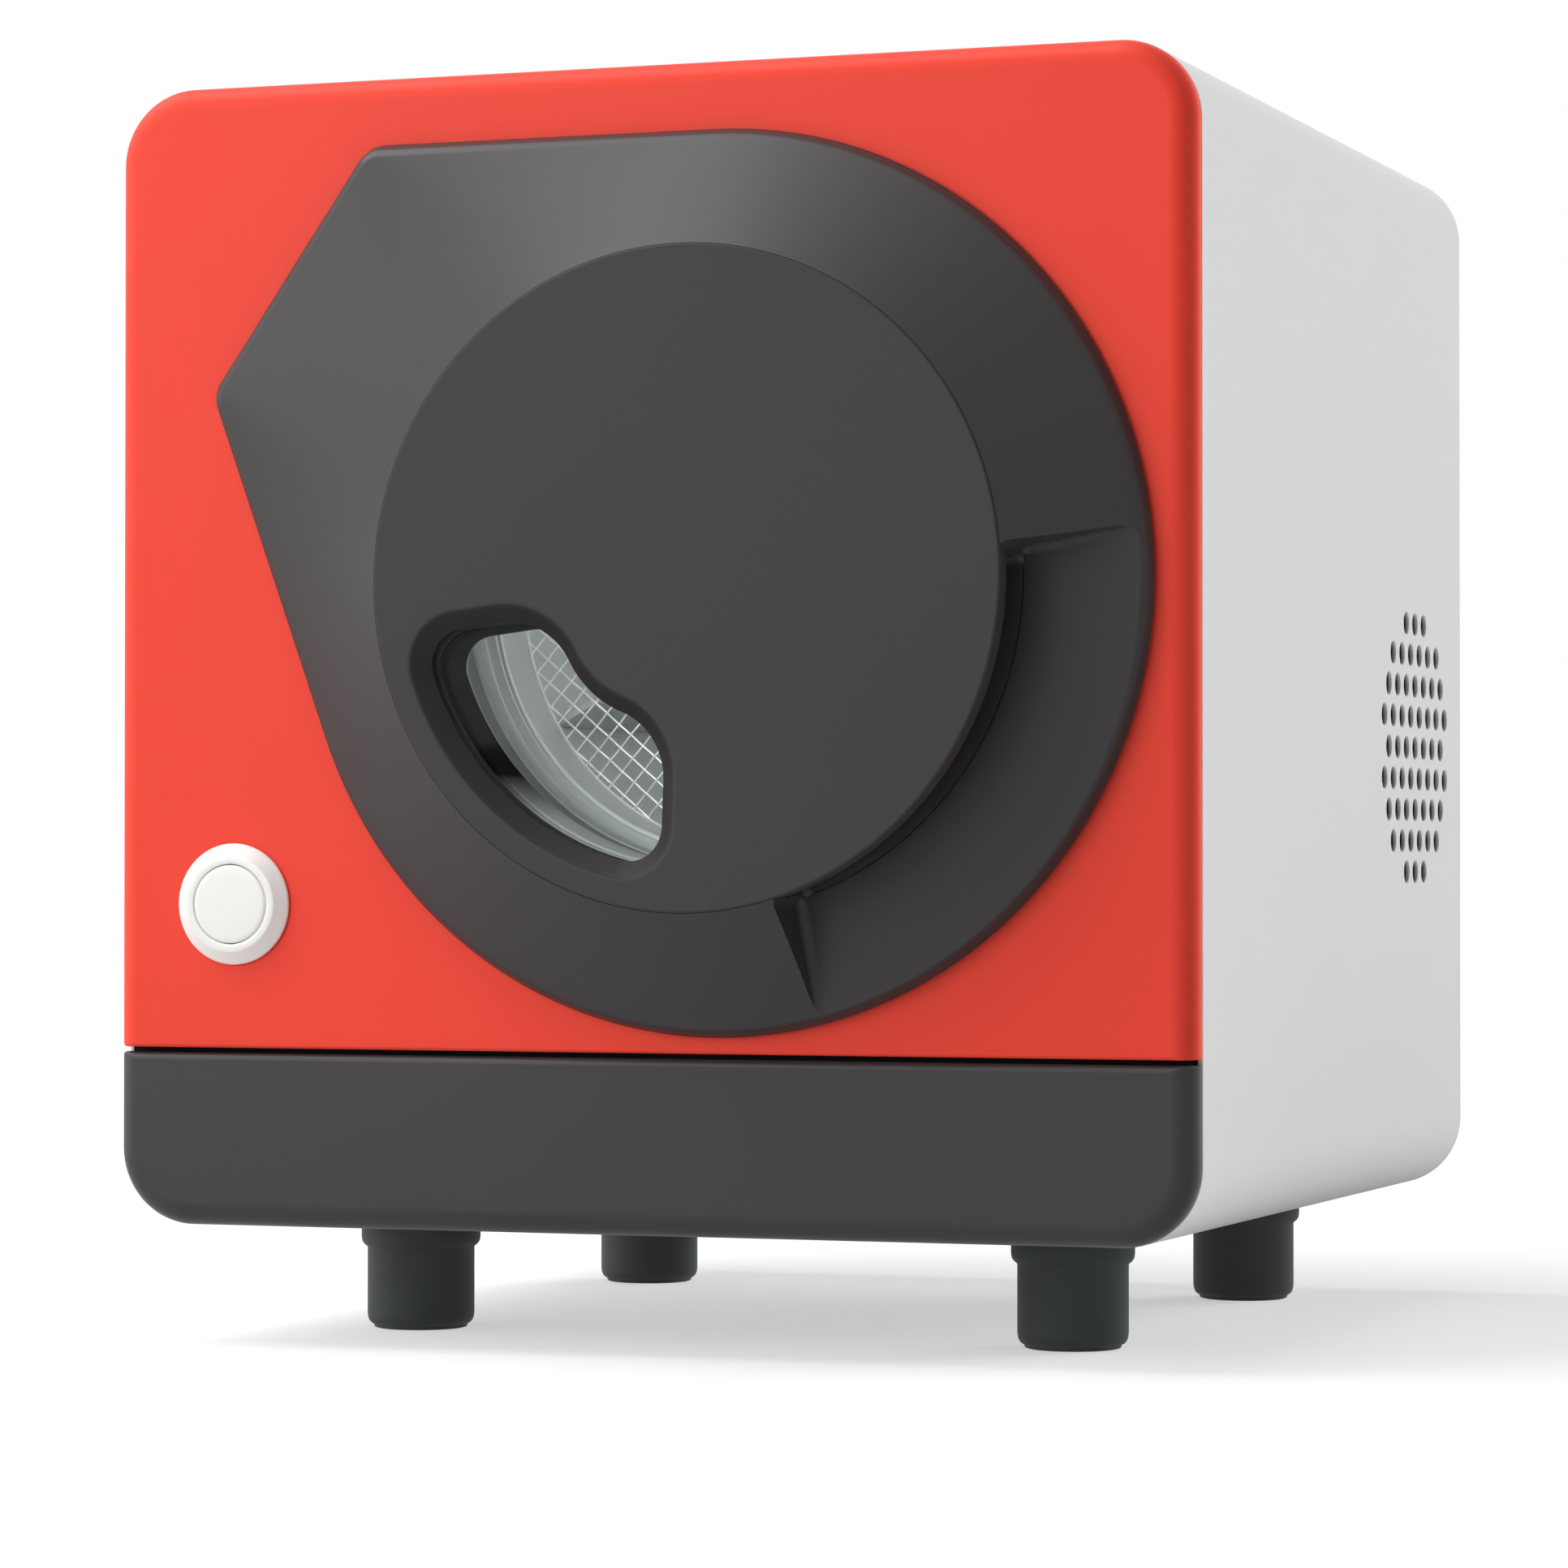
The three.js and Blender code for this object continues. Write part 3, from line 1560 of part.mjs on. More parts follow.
const roaster = new THREE.Group();
const frontMost = -doorFace;
roaster.position.set(0, -(casingDepth + frontMost) / 2, footHeight);

const painted = () => finish(colours.red, 0.42, 0);
const plastic = () => finish(colours.charcoal, 0.5, 0);
const sheet = () => finish(colours.steel, 0.4, 0.9);
const plated = () => finish(colours.darkSteel, 0.45, 0.8);
const steel = () => finish(colours.steel, 0.3, 1);

// Casing, frame, feet and fixed fittings
const housing = groupAt(roaster, 0, 0, 0);
add(housing, 'outer_casing', outerCasing(), finish(colours.white, 0.5, 0.1));
add(housing, 'front_panel', frontPanel(), painted());
add(housing, 'lower_front_band', lowerFrontBand(), plastic());
add(housing, 'rear_panel', rearPanel(), plastic());
add(housing, 'base_tray', baseTray(), sheet());
add(housing, 'front_bulkhead', frontBulkhead(), plated());
add(housing, 'rear_bulkhead', rearBulkhead(), sheet());
for (const [place, [x, y]] of Object.entries(footPlaces)) {
  const corner = groupAt(housing, x, y, 0);
  add(corner, `foot_${place}`, foot(), finish(colours.rubber, 0.6, 0));
  add(corner, `foot_screw_${place}`, footScrew(), plated());
}
for (const [place, [x, z]] of Object.entries(rearScrewPlaces)) {
  add(groupAt(housing, x, 0, z), `rear_screw_${place}`, rearScrew(), plated());
}

// Start button
const button = groupAt(roaster, buttonX, 0, buttonZ);
add(button, 'button_ring', buttonRing(), finish(colours.pearl, 0.35, 0.1));
add(button, 'button_cap', buttonCap(), finish(colours.pearl, 0.4, 0));
add(button, 'button_spring', buttonSpring(), steel());
add(button, 'button_switch', buttonSwitch(), plated());
add(button, 'button_nut', buttonNut(), sheet());

// Hinge and catch
knucklePlaces().forEach((along, i) => {
  add(housing, ['hinge_bracket_lower', 'hinge_bracket_upper'][i], hingeBracket(along), plated());
});
add(housing, 'hinge_pin', hingePin(), steel());

// Chamber
const chamber = groupAt(roaster, axisX, 0, axisZ);
add(chamber, 'strike_plate', strikePlate(), steel());
add(chamber, 'chamber_mouth', chamberMouth(), steel());
add(chamber, 'chamber_shell', chamberShell(), steel());
add(chamber, 'chamber_insulation', chamberInsulation(), finish(colours.insulation, 0.95, 0));
for (const [side, angle] of Object.entries(elementAngles)) {
  add(chamber, `heating_element_${side}`, heatingElement(angle), plated());
}
add(chamber, 'temperature_probe', rod(probeRadius, probeLength, probeTail, probeAngle), steel());
const lamp = rod(lampRadius, lampLength, lampTail, lampAngle);
add(chamber, 'chamber_lamp', lamp, finish(colours.glass, 0.1, 0));
add(chamber, 'drum_bearing', drumBearing(), finish(colours.brass, 0.4, 1));

// Drum
const drum = groupAt(roaster, axisX, 0, axisZ);
add(drum, 'drum_front_ring', drumFrontRing(), steel());
add(drum, 'drum_front_screen', drumFrontScreen(), steel());
add(drum, 'drum_wall', drumShell(), steel());
add(drum, 'drum_back_plate', drumBackPlate(), steel());
vaneAngles.forEach((angle, i) => {
  add(drum, `drum_vane_${i + 1}`, drumVane(angle), steel());
});
add(drum, 'drum_shaft', drumShaft(), steel());
add(drum, 'drum_gear', drumGear(), finish(colours.brass, 0.4, 1));

// Drive
const drive = groupAt(roaster, axisX + pinionOffset[0], 0, axisZ + pinionOffset[1]);
add(drive, 'drive_pinion', drivePinion(), steel());
add(drive, 'motor_bracket', motorBracket(), sheet());
add(drive, 'gear_motor', gearMotor(), plated());

// Exhaust and electronics
add(groupAt(roaster, ductX, 0, ductZ), 'exhaust_duct', exhaustDuct(), sheet());
const fan = groupAt(roaster, fanX, 0, fanZ);
add(fan, 'fan_frame', fanFrame(), plastic());
add(fan, 'fan_impeller', fanImpeller(), plastic());
add(groupAt(roaster, inletX, 0, inletZ), 'inlet_socket', inletSocket(), plastic());
add(groupAt(roaster, boardX, boardY, 0), 'control_board', controlBoard(), finish(colours.board, 0.6, 0));

// Door
const door = groupAt(roaster, axisX, 0, axisZ);
add(door, 'door_shell', doorShell(), plastic());
add(door, 'door_disc', doorDisc(), plastic());
const clear = { transparent: true, opacity: 0.3 };
add(door, 'window_glass', windowGlass(), finish(colours.glass, 0.05, 0, clear));
add(door, 'window_gasket', windowGasket(), finish(colours.rubber, 0.7, 0));
add(door, 'door_liner', doorLiner(), steel());
add(door, 'door_seal', doorSeal(), finish(colours.silicone, 0.7, 0));
add(door, 'door_magnet', doorMagnet(), steel());

export default roaster;
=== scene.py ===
"""Home coffee bean roaster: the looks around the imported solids.

Lengths are millimetres in the part's own local frame, unless a line says otherwise: X right,
Y back from the red panel's face, Z up from the casing's underside. world() gives the frame's
metres. Outlines lie in a plane across Y and list (x, z). Angles are degrees.
"""

import math

import bmesh
import bpy
import numpy as np
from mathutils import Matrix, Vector

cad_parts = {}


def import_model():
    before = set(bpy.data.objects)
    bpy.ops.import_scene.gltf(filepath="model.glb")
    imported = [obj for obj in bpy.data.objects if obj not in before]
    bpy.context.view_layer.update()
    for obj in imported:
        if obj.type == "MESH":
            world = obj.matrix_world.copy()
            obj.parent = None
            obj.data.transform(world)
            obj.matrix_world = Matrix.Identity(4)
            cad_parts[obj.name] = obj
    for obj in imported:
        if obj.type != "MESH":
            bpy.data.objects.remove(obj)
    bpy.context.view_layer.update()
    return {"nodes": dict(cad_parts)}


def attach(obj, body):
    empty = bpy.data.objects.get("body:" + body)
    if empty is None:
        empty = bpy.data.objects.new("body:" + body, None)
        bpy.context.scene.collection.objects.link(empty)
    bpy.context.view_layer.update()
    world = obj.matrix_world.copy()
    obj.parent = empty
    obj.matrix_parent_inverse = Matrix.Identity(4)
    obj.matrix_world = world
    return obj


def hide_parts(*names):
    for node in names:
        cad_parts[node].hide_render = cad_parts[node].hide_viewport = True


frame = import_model()
NODES = frame["nodes"]

MM = 0.001
SHIFT = Vector((0.0, -109.0, 25.8))     # from the local origin to the frame's
AXIS = (18.3, 135.4)                    # the drum's axis, which the door and its window share
WIDTH, HEIGHT = 240.0, 244.0            # of the casing
CORNER = 16.4                           # radius of its long edges


# ---------------------------------------------------------------- outlines

def polar(radius, angle):
    return radius * math.cos(math.radians(angle)), radius * math.sin(math.radians(angle))


def from_axis(radius, angle):
    x, z = polar(radius, angle)
    return AXIS[0] + x, AXIS[1] + z


def arc(x, z, radius, start, end, count):
    """Points of an arc, with both its ends."""
    out = []
    for i in range(count + 1):
        turn = math.radians(start + (end - start) * i / count)
        out.append((x + radius * math.cos(turn), z + radius * math.sin(turn)))
    return out


def circle(centre, radius, count):
    turns = [2 * math.pi * i / count for i in range(count)]
    return [(centre[0] + radius * math.cos(t), centre[1] + radius * math.sin(t)) for t in turns]


def rounded(x, low, high, radius, count):
    """A rectangle with round corners, whose centres are at -x and x, low and high."""
    return (arc(x, low, radius, -90, 0, count) + arc(x, high, radius, 0, 90, count)
            + arc(-x, high, radius, 90, 180, count) + arc(-x, low, radius, 180, 270, count))


def casing_outline(inset, count):
    return rounded(WIDTH / 2 - CORNER, CORNER, HEIGHT - CORNER, CORNER - inset, count)


def quarter(radius, count):
    """(inset, y) of a rounded front edge, from the face to the side."""
    turns = [math.pi / 2 * i / count for i in range(count + 1)]
    return [(radius * (1 - math.sin(t)), radius * (1 - math.cos(t))) for t in turns]


def layers(outline, levels):
    """Rings of outline(inset) at each y; levels list (inset, y)."""
    return [[(x, y, z) for x, z in outline(inset)] for inset, y in levels]


# ---------------------------------------------------------------- meshes

def world(x, y, z):
    return (Vector((x, y, z)) + SHIFT) * MM


def link(name, data):
    """An object of this data in the scene."""
    obj = bpy.data.objects.new(name, data)
    bpy.context.scene.collection.objects.link(obj)
    return obj


def build(name, points, faces, smooth=True):
    """An object from local points, with its faces turned outward."""
    mesh = bpy.data.meshes.new(name)
    mesh.from_pydata([world(*p) for p in points], [], faces)
    mesh.validate()
    work = bmesh.new()
    work.from_mesh(mesh)
    bmesh.ops.remove_doubles(work, verts=work.verts, dist=1e-6)
    bmesh.ops.recalc_face_normals(work, faces=work.faces)
    if work.calc_volume(signed=True) < 0:
        bmesh.ops.reverse_faces(work, faces=work.faces)
    work.to_mesh(mesh)
    work.free()
    for poly in mesh.polygons:
        poly.use_smooth = smooth
    return link(name, mesh)


def strip(rings, closed=False):
    """Quads between rings of equal length; if closed, the last ring joins the first."""
    count = len(rings[0])
    points = [p for r in rings for p in r]
    faces = []
    last = len(rings) if closed else len(rings) - 1
    for level in range(last):
        a, b = level * count, ((level + 1) % len(rings)) * count
        for i in range(count):
            j = (i + 1) % count
            faces.append((a + i, a + j, b + j, b + i))
    return points, faces


def capped(rings):
    """Quads between the rings and a face at each end."""
    points, faces = strip(rings)
    count = len(rings[0])
    top = len(points) - count
    faces.append(tuple(range(count)))
    faces.append(tuple(range(top, top + count))[::-1])
    return points, faces


def loft(name, rings):
    return build(name, *capped(rings))


def hoop(name, rings):
    """A hollow shape whose last ring joins the first."""
    return build(name, *strip(rings, closed=True))


def lathe(name, profile, count=128, centre=AXIS, closed=False, upright=False):
    """A round shape about a line along Y, or along Z; profile lists (radius, place on the line)."""
    points, faces, rows = [], [], []
    for radius, place in profile:
        if radius < 1e-6:
            rows.append([len(points)] * count)
            spots = [centre]
        else:
            rows.append([len(points) + i for i in range(count)])
            spots = circle(centre, radius, count)
        points += [(a, b, place) if upright else (a, place, b) for a, b in spots]
    pairs = list(zip(rows, rows[1:]))
    if closed:
        pairs.append((rows[-1], rows[0]))
    for low, high in pairs:
        for i in range(count):
            j = (i + 1) % count
            face = list(dict.fromkeys((low[i], low[j], high[j], high[i])))
            if len(face) > 2:
                faces.append(face)
    return build(name, points, faces)


def prism(name, outline, y0, y1):
    return loft(name, [[(x, y, z) for x, z in outline] for y in (y0, y1)])


def box(name, xs, ys, zs):
    points = [(x, y, z) for z in zs for y in ys for x in xs]
    faces = [(0, 1, 3, 2), (4, 5, 7, 6), (0, 1, 5, 4), (2, 3, 7, 6), (0, 2, 6, 4), (1, 3, 7, 5)]
    return build(name, points, faces, smooth=False)


def round_box(name, centre, width, height, radius, y0, y1, count=8, edge=0.0):
    """A block along Y with round corners; its rear edge may be rounded."""
    x, z = width / 2 - radius, height / 2 - radius

    def outline(inset):
        corners = rounded(x, -z, z, radius - inset, count)
        return [(centre[0] + px, centre[1] + pz) for px, pz in corners]

    levels = [(0.0, y0)]
    if edge:
        for i in range(5):
            turn = math.pi / 2 * i / 4
            levels.append((edge * (1 - math.cos(turn)), y1 - edge + edge * math.sin(turn)))
    else:
        levels.append((0.0, y1))
    return loft(name, layers(outline, levels))


def join(objects, name):
    """One object of several; they may touch or cross."""
    work = bmesh.new()
    for obj in objects:
        work.from_mesh(obj.data)
        bpy.data.objects.remove(obj)
    mesh = bpy.data.meshes.new(name)
    work.to_mesh(mesh)
    work.free()
    return link(name, mesh)


def carve(obj, tools, operation="DIFFERENCE"):
    """Takes the tools out of the object, or adds them to it, and uses them up."""
    for tool in tools:
        change = obj.modifiers.new("carve", "BOOLEAN")
        change.operation = operation
        change.solver = "MANIFOLD"
        change.object = tool
    graph = bpy.context.evaluated_depsgraph_get()
    graph.update()
    mesh = bpy.data.meshes.new_from_object(obj.evaluated_get(graph))
    obj.modifiers.clear()
    obj.data = mesh
    for tool in tools:
        bpy.data.objects.remove(tool)


def soften(obj, width, segments, angle):
    """Rounds the edges that are sharper than an angle."""
    work = bmesh.new()
    work.from_mesh(obj.data)
    bmesh.ops.remove_doubles(work, verts=work.verts, dist=2e-6)
    bmesh.ops.dissolve_degenerate(work, dist=2e-6, edges=work.edges)
    work.to_mesh(obj.data)
    work.free()
    for poly in obj.data.polygons:
        poly.use_smooth = True
    edge = obj.modifiers.new("edge", "BEVEL")
    edge.width = width * MM
    edge.segments = segments
    edge.limit_method = "ANGLE"
    edge.angle_limit = math.radians(angle)
    edge.use_clamp_overlap = False
    edge.miter_outer = "MITER_ARC"
    edge.harden_normals = False
    normal = obj.modifiers.new("normal", "WEIGHTED_NORMAL")
    normal.keep_sharp = True
    normal.weight = 80


def crisp(obj, angle, weighted=False):
    """Smooth shading up to an angle; weighted keeps the large faces flat."""
    for poly in obj.data.polygons:
        poly.use_smooth = True
    work = bmesh.new()
    work.from_mesh(obj.data)
    limit = math.radians(angle)
    for edge in work.edges:
        edge.smooth = len(edge.link_faces) == 2 and edge.calc_face_angle(0.0) < limit
    work.to_mesh(obj.data)
    work.free()
    if weighted:
        obj.modifiers.new("normal", "WEIGHTED_NORMAL").keep_sharp = True


# ---------------------------------------------------------------- materials

def srgb(*levels):
    """A colour from its levels of 0 to 255 on the screen."""
    out = []
    for level in levels:
        c = level / 255
        out.append(c / 12.92 if c <= 0.04045 else ((c + 0.055) / 1.055) ** 2.4)
    return tuple(out)


def links(tree, *pairs):
    for source, target in pairs:
        tree.links.new(source, target)


def preset(node, levels):
    for socket, level in levels.items():
        node.inputs[socket].default_value = level


def add(tree, kind, levels=None, **choices):
    """A new node of the tree; levels are its inputs' values and choices its own settings."""
    node = tree.nodes.new("ShaderNode" + kind)
    for name, choice in choices.items():
        setattr(node, name, choice)
    preset(node, levels or {})
    return node


def surface(name, levels):
    """A new material with its node tree and shader; levels are the shader's inputs."""
    mat = bpy.data.materials.new(name)
    mat.use_nodes = True
    tree = mat.node_tree
    shader = tree.nodes["Principled BSDF"]
    preset(shader, levels)
    return mat, tree, shader


CLOUD = 14.0            # scale of the slow unevenness
GRAIN_SHARE = 0.35      # share of the fine grain in the roughness


def material(name, colour, rough, metal=0.0, grain=900.0, bump=0.04, depth=0.00005, vary=0.04,
             rough_vary=0.06, stretch=(1, 1, 1), coat=0.0, specular=0.5, sheen=0.0):
    """A moulded, painted, rubbed or brushed surface with its fine grain and slow unevenness."""
    mat, tree, shader = surface(name, {
        "Metallic": metal, "Specular IOR Level": specular, "Coat Weight": coat,
        "Coat Roughness": 0.2, "Sheen Weight": sheen})
    place = add(tree, "TexCoord")
    mapping = add(tree, "Mapping", {"Scale": stretch})
    fine = add(tree, "TexNoise", {"Scale": grain, "Detail": 3.0})
    slow = add(tree, "TexNoise", {"Scale": CLOUD, "Detail": 2.0})
    tones = add(tree, "ValToRGB")
    low, high = tones.color_ramp.elements
    low.position = 0.3
    low.color = (*[c * (1 - vary) for c in colour], 1)
    high.position = 0.7
    high.color = (*[min(1.0, c * (1 + vary)) for c in colour], 1)
    mix = add(tree, "Math", {1: GRAIN_SHARE}, operation="MULTIPLY_ADD")
    spread = add(tree, "MapRange", {"To Min": rough - rough_vary, "To Max": rough + rough_vary})
    relief = add(tree, "Bump", {"Strength": bump, "Distance": depth})
    links(tree,
          (place.outputs["Object"], mapping.inputs["Vector"]),
          (mapping.outputs["Vector"], fine.inputs["Vector"]),
          (place.outputs["Object"], slow.inputs["Vector"]),
          (fine.outputs["Fac"], mix.inputs[0]),
          (slow.outputs["Fac"], mix.inputs[2]),
          (slow.outputs["Fac"], tones.inputs["Fac"]),
          (tones.outputs["Color"], shader.inputs["Base Color"]),
          (mix.outputs["Value"], spread.inputs["Value"]),
          (spread.outputs["Result"], shader.inputs["Roughness"]),
          (fine.outputs["Fac"], relief.inputs["Height"]),
          (relief.outputs["Normal"], shader.inputs["Normal"]))
    return mat


def glass(name, tint, ior):
    """Clear glass with a faint smear."""
    mat, tree, shader = surface(name, {"Transmission Weight": 1.0, "IOR": ior})
    place = add(tree, "TexCoord")
    slow = add(tree, "TexNoise", {"Scale": 30.0})
    tones = add(tree, "ValToRGB")
    low, high = tones.color_ramp.elements
    low.color = (*[c * 0.97 for c in tint], 1)
    high.color = (*tint, 1)
    smear = add(tree, "MapRange", {"To Min": 0.0, "To Max": 0.03})
    links(tree,
          (place.outputs["Object"], slow.inputs["Vector"]),
          (slow.outputs["Fac"], tones.inputs["Fac"]),
          (tones.outputs["Color"], shader.inputs["Base Color"]),
          (slow.outputs["Fac"], smear.inputs["Value"]),
          (smear.outputs["Result"], shader.inputs["Roughness"]))
    return mat


MIX_A, MIX_B, MIX_RESULT = 6, 7, 2      # the colour sockets of a Mix node


def painted_lower_light(name, dark_colour, lit_colour, low, high):
    """Dark plastic with painted light that makes it lighter towards its lower side, from high to
    low.
    """
    mat = material(name, dark_colour, 0.5, grain=1500, bump=0.05, vary=0.05, specular=0.0)
    tree = mat.node_tree
    colour = tree.nodes["Principled BSDF"].inputs["Base Color"]
    source = colour.links[0].from_socket
    place = add(tree, "TexCoord")
    split = add(tree, "SeparateXYZ")
    span = add(tree, "MapRange", {
        "From Min": (high + SHIFT[2]) * MM, "From Max": (low + SHIFT[2]) * MM})
    mix = add(tree, "Mix", {MIX_B: (*lit_colour, 1)}, data_type="RGBA")
    links(tree,
          (place.outputs["Object"], split.inputs["Vector"]),
          (split.outputs["Z"], span.inputs["Value"]),
          (span.outputs["Result"], mix.inputs["Factor"]),
          (source, mix.inputs[MIX_A]),
          (mix.outputs[MIX_RESULT], colour))
    return mat


RED = material("red_plastic", srgb(251, 76, 59), 0.42, grain=1500, bump=0.05, vary=0.012,
               rough_vary=0.04, specular=0.14)
CHARCOAL = material("charcoal_plastic", srgb(60, 58, 59), 0.39, grain=1800, bump=0.07, vary=0.02,
                    rough_vary=0.05, specular=0.25)
FLAT_CHARCOAL = material("flat_charcoal_plastic", srgb(70, 68, 69), 0.42, grain=1800, bump=0.07,
                         vary=0.02, rough_vary=0.05, specular=0.08)
CASING = material("casing_paint", srgb(228, 229, 228), 0.5, grain=1100, bump=0.06, vary=0.008,
                  rough_vary=0.05, specular=0.15)
PEARL = material("pearl_plastic", srgb(251, 251, 247), 0.32, grain=1600, bump=0.03, vary=0.008,
                 coat=0.3)
RUBBER = material("foot_rubber", srgb(54, 59, 62), 0.62, grain=2200, bump=0.12, vary=0.06,
                  rough_vary=0.08)
STEEL = material("bright_steel", (0.72, 0.73, 0.73), 0.3, metal=1.0, grain=300,
                 stretch=(1, 14, 1), bump=0.05, vary=0.03)
SHEET = material("sheet_steel", (0.6, 0.61, 0.61), 0.36, metal=1.0, grain=260,
                 stretch=(12, 1, 1), bump=0.06)
DULL_STEEL = material("dull_steel", (0.46, 0.48, 0.48), 0.5, metal=0.75, bump=0.03, vary=0.02)
RING_STEEL = material("ring_steel", (0.6, 0.62, 0.62), 0.5, metal=0.75, bump=0.03, vary=0.02)
SATIN = material("satin_steel", (0.74, 0.76, 0.76), 0.5, metal=0.75, bump=0.03, vary=0.02)
WIRE = material("screen_wire", (0.9, 0.91, 0.91), 0.35, metal=0.6, grain=1200, bump=0.02,
                vary=0.03)
# painted shade: darker than the door's charcoal, for the shade in the window's sunken rounded edge
BEZEL_SHADE = material("painted_shade_bezel", srgb(46, 43, 44), 0.42, grain=1800, bump=0.06, vary=0.02,
                 rough_vary=0.05, specular=0.16)
# painted shade: near black for faces seen only in shade, the casing's inside behind the vents and
# the bulkhead in the gap under the red panel
SHADE_BLACK = material("painted_shade_black", srgb(22, 22, 23), 0.6, grain=700, bump=0.05, vary=0.06,
                   specular=0.2)
# a darker steel for the chamber mouth's front lip
DARK_LIP_STEEL = material("dark_lip_steel", (0.2, 0.205, 0.215), 0.45, metal=0.6, grain=700, vary=0.06)
DARK = material("dark_steel", (0.1, 0.1, 0.105), 0.42, metal=0.9, grain=700, bump=0.05, vary=0.08)
BRASS = material("machined_brass", (0.62, 0.45, 0.17), 0.33, metal=1.0, grain=500,
                 stretch=(1, 6, 1), bump=0.05, vary=0.05)
FIBRE = material("fibre_blanket", (0.62, 0.59, 0.5), 0.9, grain=700, bump=0.6, depth=0.0004,
                 vary=0.12, specular=0.2, sheen=0.2)
SILICONE = material("silicone", (0.3, 0.05, 0.04), 0.55, bump=0.05, vary=0.05)
BOARD = material("circuit_board", (0.02, 0.13, 0.05), 0.35, grain=420, bump=0.1, vary=0.15,
                 coat=0.4)
GLASS = glass("window_glass", (0.93, 0.96, 0.955), 1.1)
LAMP_GLASS = glass("lamp_glass", (0.95, 0.93, 0.88), 1.46)
# painted light: the sleeve goes from near black at z 96 to pale grey at z 86, standing in for light
# on its lower wall
PAINTED_LOWER_LIGHT = painted_lower_light("painted_lower_light_plastic", srgb(12, 13, 13), srgb(176, 178, 175), low=86, high=96)


def paint(obj, mat):
    """Gives the object this one material."""
    obj.data.materials.clear()
    obj.data.materials.append(mat)


def dress(obj, mat, body, slot, *nodes):
    paint(obj, mat)
    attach(obj, body)
    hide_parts(*nodes)


# ---------------------------------------------------------------- hinge frame

HINGE_REACH = 118.2     # from the axis to the door's slanted edge
HINGE_TURN = 144.9      # the direction of that edge from the axis
HINGE_ROUND = 2.9       # radius of that edge, whose centre is the hinge's line
HINGE_Y = -3.3
HINGE_SPOT = from_axis(HINGE_REACH - HINGE_ROUND, HINGE_TURN)
ALONG = polar(1, HINGE_TURN - 90)
KNUCKLES = (-17.0, 17.0)


def hinge_point(along, y, out):
    x = HINGE_SPOT[0] + along * ALONG[0] - out * ALONG[1]
    z = HINGE_SPOT[1] + along * ALONG[1] + out * ALONG[0]
    return x, y, z


def hinge_prism(name, section, middle, half):
    """A bar along the hinge's line; its section lists (out, y)."""
    return loft(name, [[hinge_point(along, y, out) for out, y in section]
                       for along in (middle - half, middle + half)])


def hinge_block(name, outs, ys, middle, half):
    (low, high), (front, back) = outs, ys
    section = [(low, front), (high, front), (high, back), (low, back)]
    return hinge_prism(name, section, middle, half)


def hinge_rod(name, radius, middle, half, count):
    section = arc(0, HINGE_Y, radius, 0, 360 - 360 / count, count - 1)
    return hinge_prism(name, section, middle, half)


# ---------------------------------------------------------------- front cover

PAST = (-3, 9)                          # y in front of the cover and behind it
MAGNET = from_axis(82, -35.1)
BUTTON = (-91.8, 68.8)


def small_edge(radius, y):
    """How far an edge with a small radius has drawn back at a depth."""
    return radius - math.sqrt(radius ** 2 - (radius - y) ** 2) if y < radius else 0.0


def cover_outline(inset, level, upper):
    """The part of the front cover above or below a straight cut, with tiny corners there."""
    tiny = 0.7
    side = WIDTH / 2 - inset - tiny
    x = WIDTH / 2 - CORNER
    radius = CORNER - inset
    if upper:
        z = HEIGHT - CORNER
        return (arc(side, level + tiny, tiny, -90, 0, 4) + arc(x, z, radius, 0, 90, 18)
                + arc(-x, z, radius, 90, 180, 18) + arc(-side, level + tiny, tiny, 180, 270, 4))
    return (arc(side, level - tiny, tiny, 90, 0, 4) + arc(x, CORNER, radius, 0, -90, 18)
            + arc(-x, CORNER, radius, -90, -180, 18) + arc(-side, level - tiny, tiny, 180, 90, 4))


def cover(name, level, upper, edge):
    rings = []
    for inset, y in quarter(5.0, 12) + [(0.0, 5.9), (0.3, 6.2)]:
        cut = small_edge(edge, y)
        outline = cover_outline(inset, level + (cut if upper else -cut), upper)
        rings.append([(px, y, pz) for px, pz in outline])
    return loft(name, rings)


def flared(radius, flare, depth, centre, count):
    """A round cutter that opens out at y = 0, to round the edge of its hole."""
    profile = [(0.0, PAST[0]), (radius + flare, PAST[0])]
    profile += [(radius + inset, y) for inset, y in quarter(flare, 6)]
    return lathe("cut", profile + [(radius, depth), (0.0, depth)], count, centre)


panel = cover("front_panel_skin", level=38.1, upper=True, edge=0.8)
cutters = [
    flared(62.6, 0.6, PAST[1], AXIS, 256),
    flared(9.7, 0.4, PAST[1], BUTTON, 96),
    flared(7.3, 0.25, 1.9, MAGNET, 96),
]
for along in KNUCKLES:
    cutters.append(hinge_block("cut", (-1.4, 1.4), PAST, along, 4.3))
    cutters.append(hinge_block("cut", (-6.3, 6.3), (3.4, PAST[1]), along, 7.3))
carve(panel, cutters)
crisp(panel, 30, weighted=True)
dress(panel, RED, "housing", "panel_red", "front_panel")

band = cover("lower_band_skin", level=37.0, upper=False, edge=1.6)
crisp(band, 40, weighted=True)
dress(band, CHARCOAL, "housing", "plastic_charcoal", "lower_front_band")


# ---------------------------------------------------------------- casing

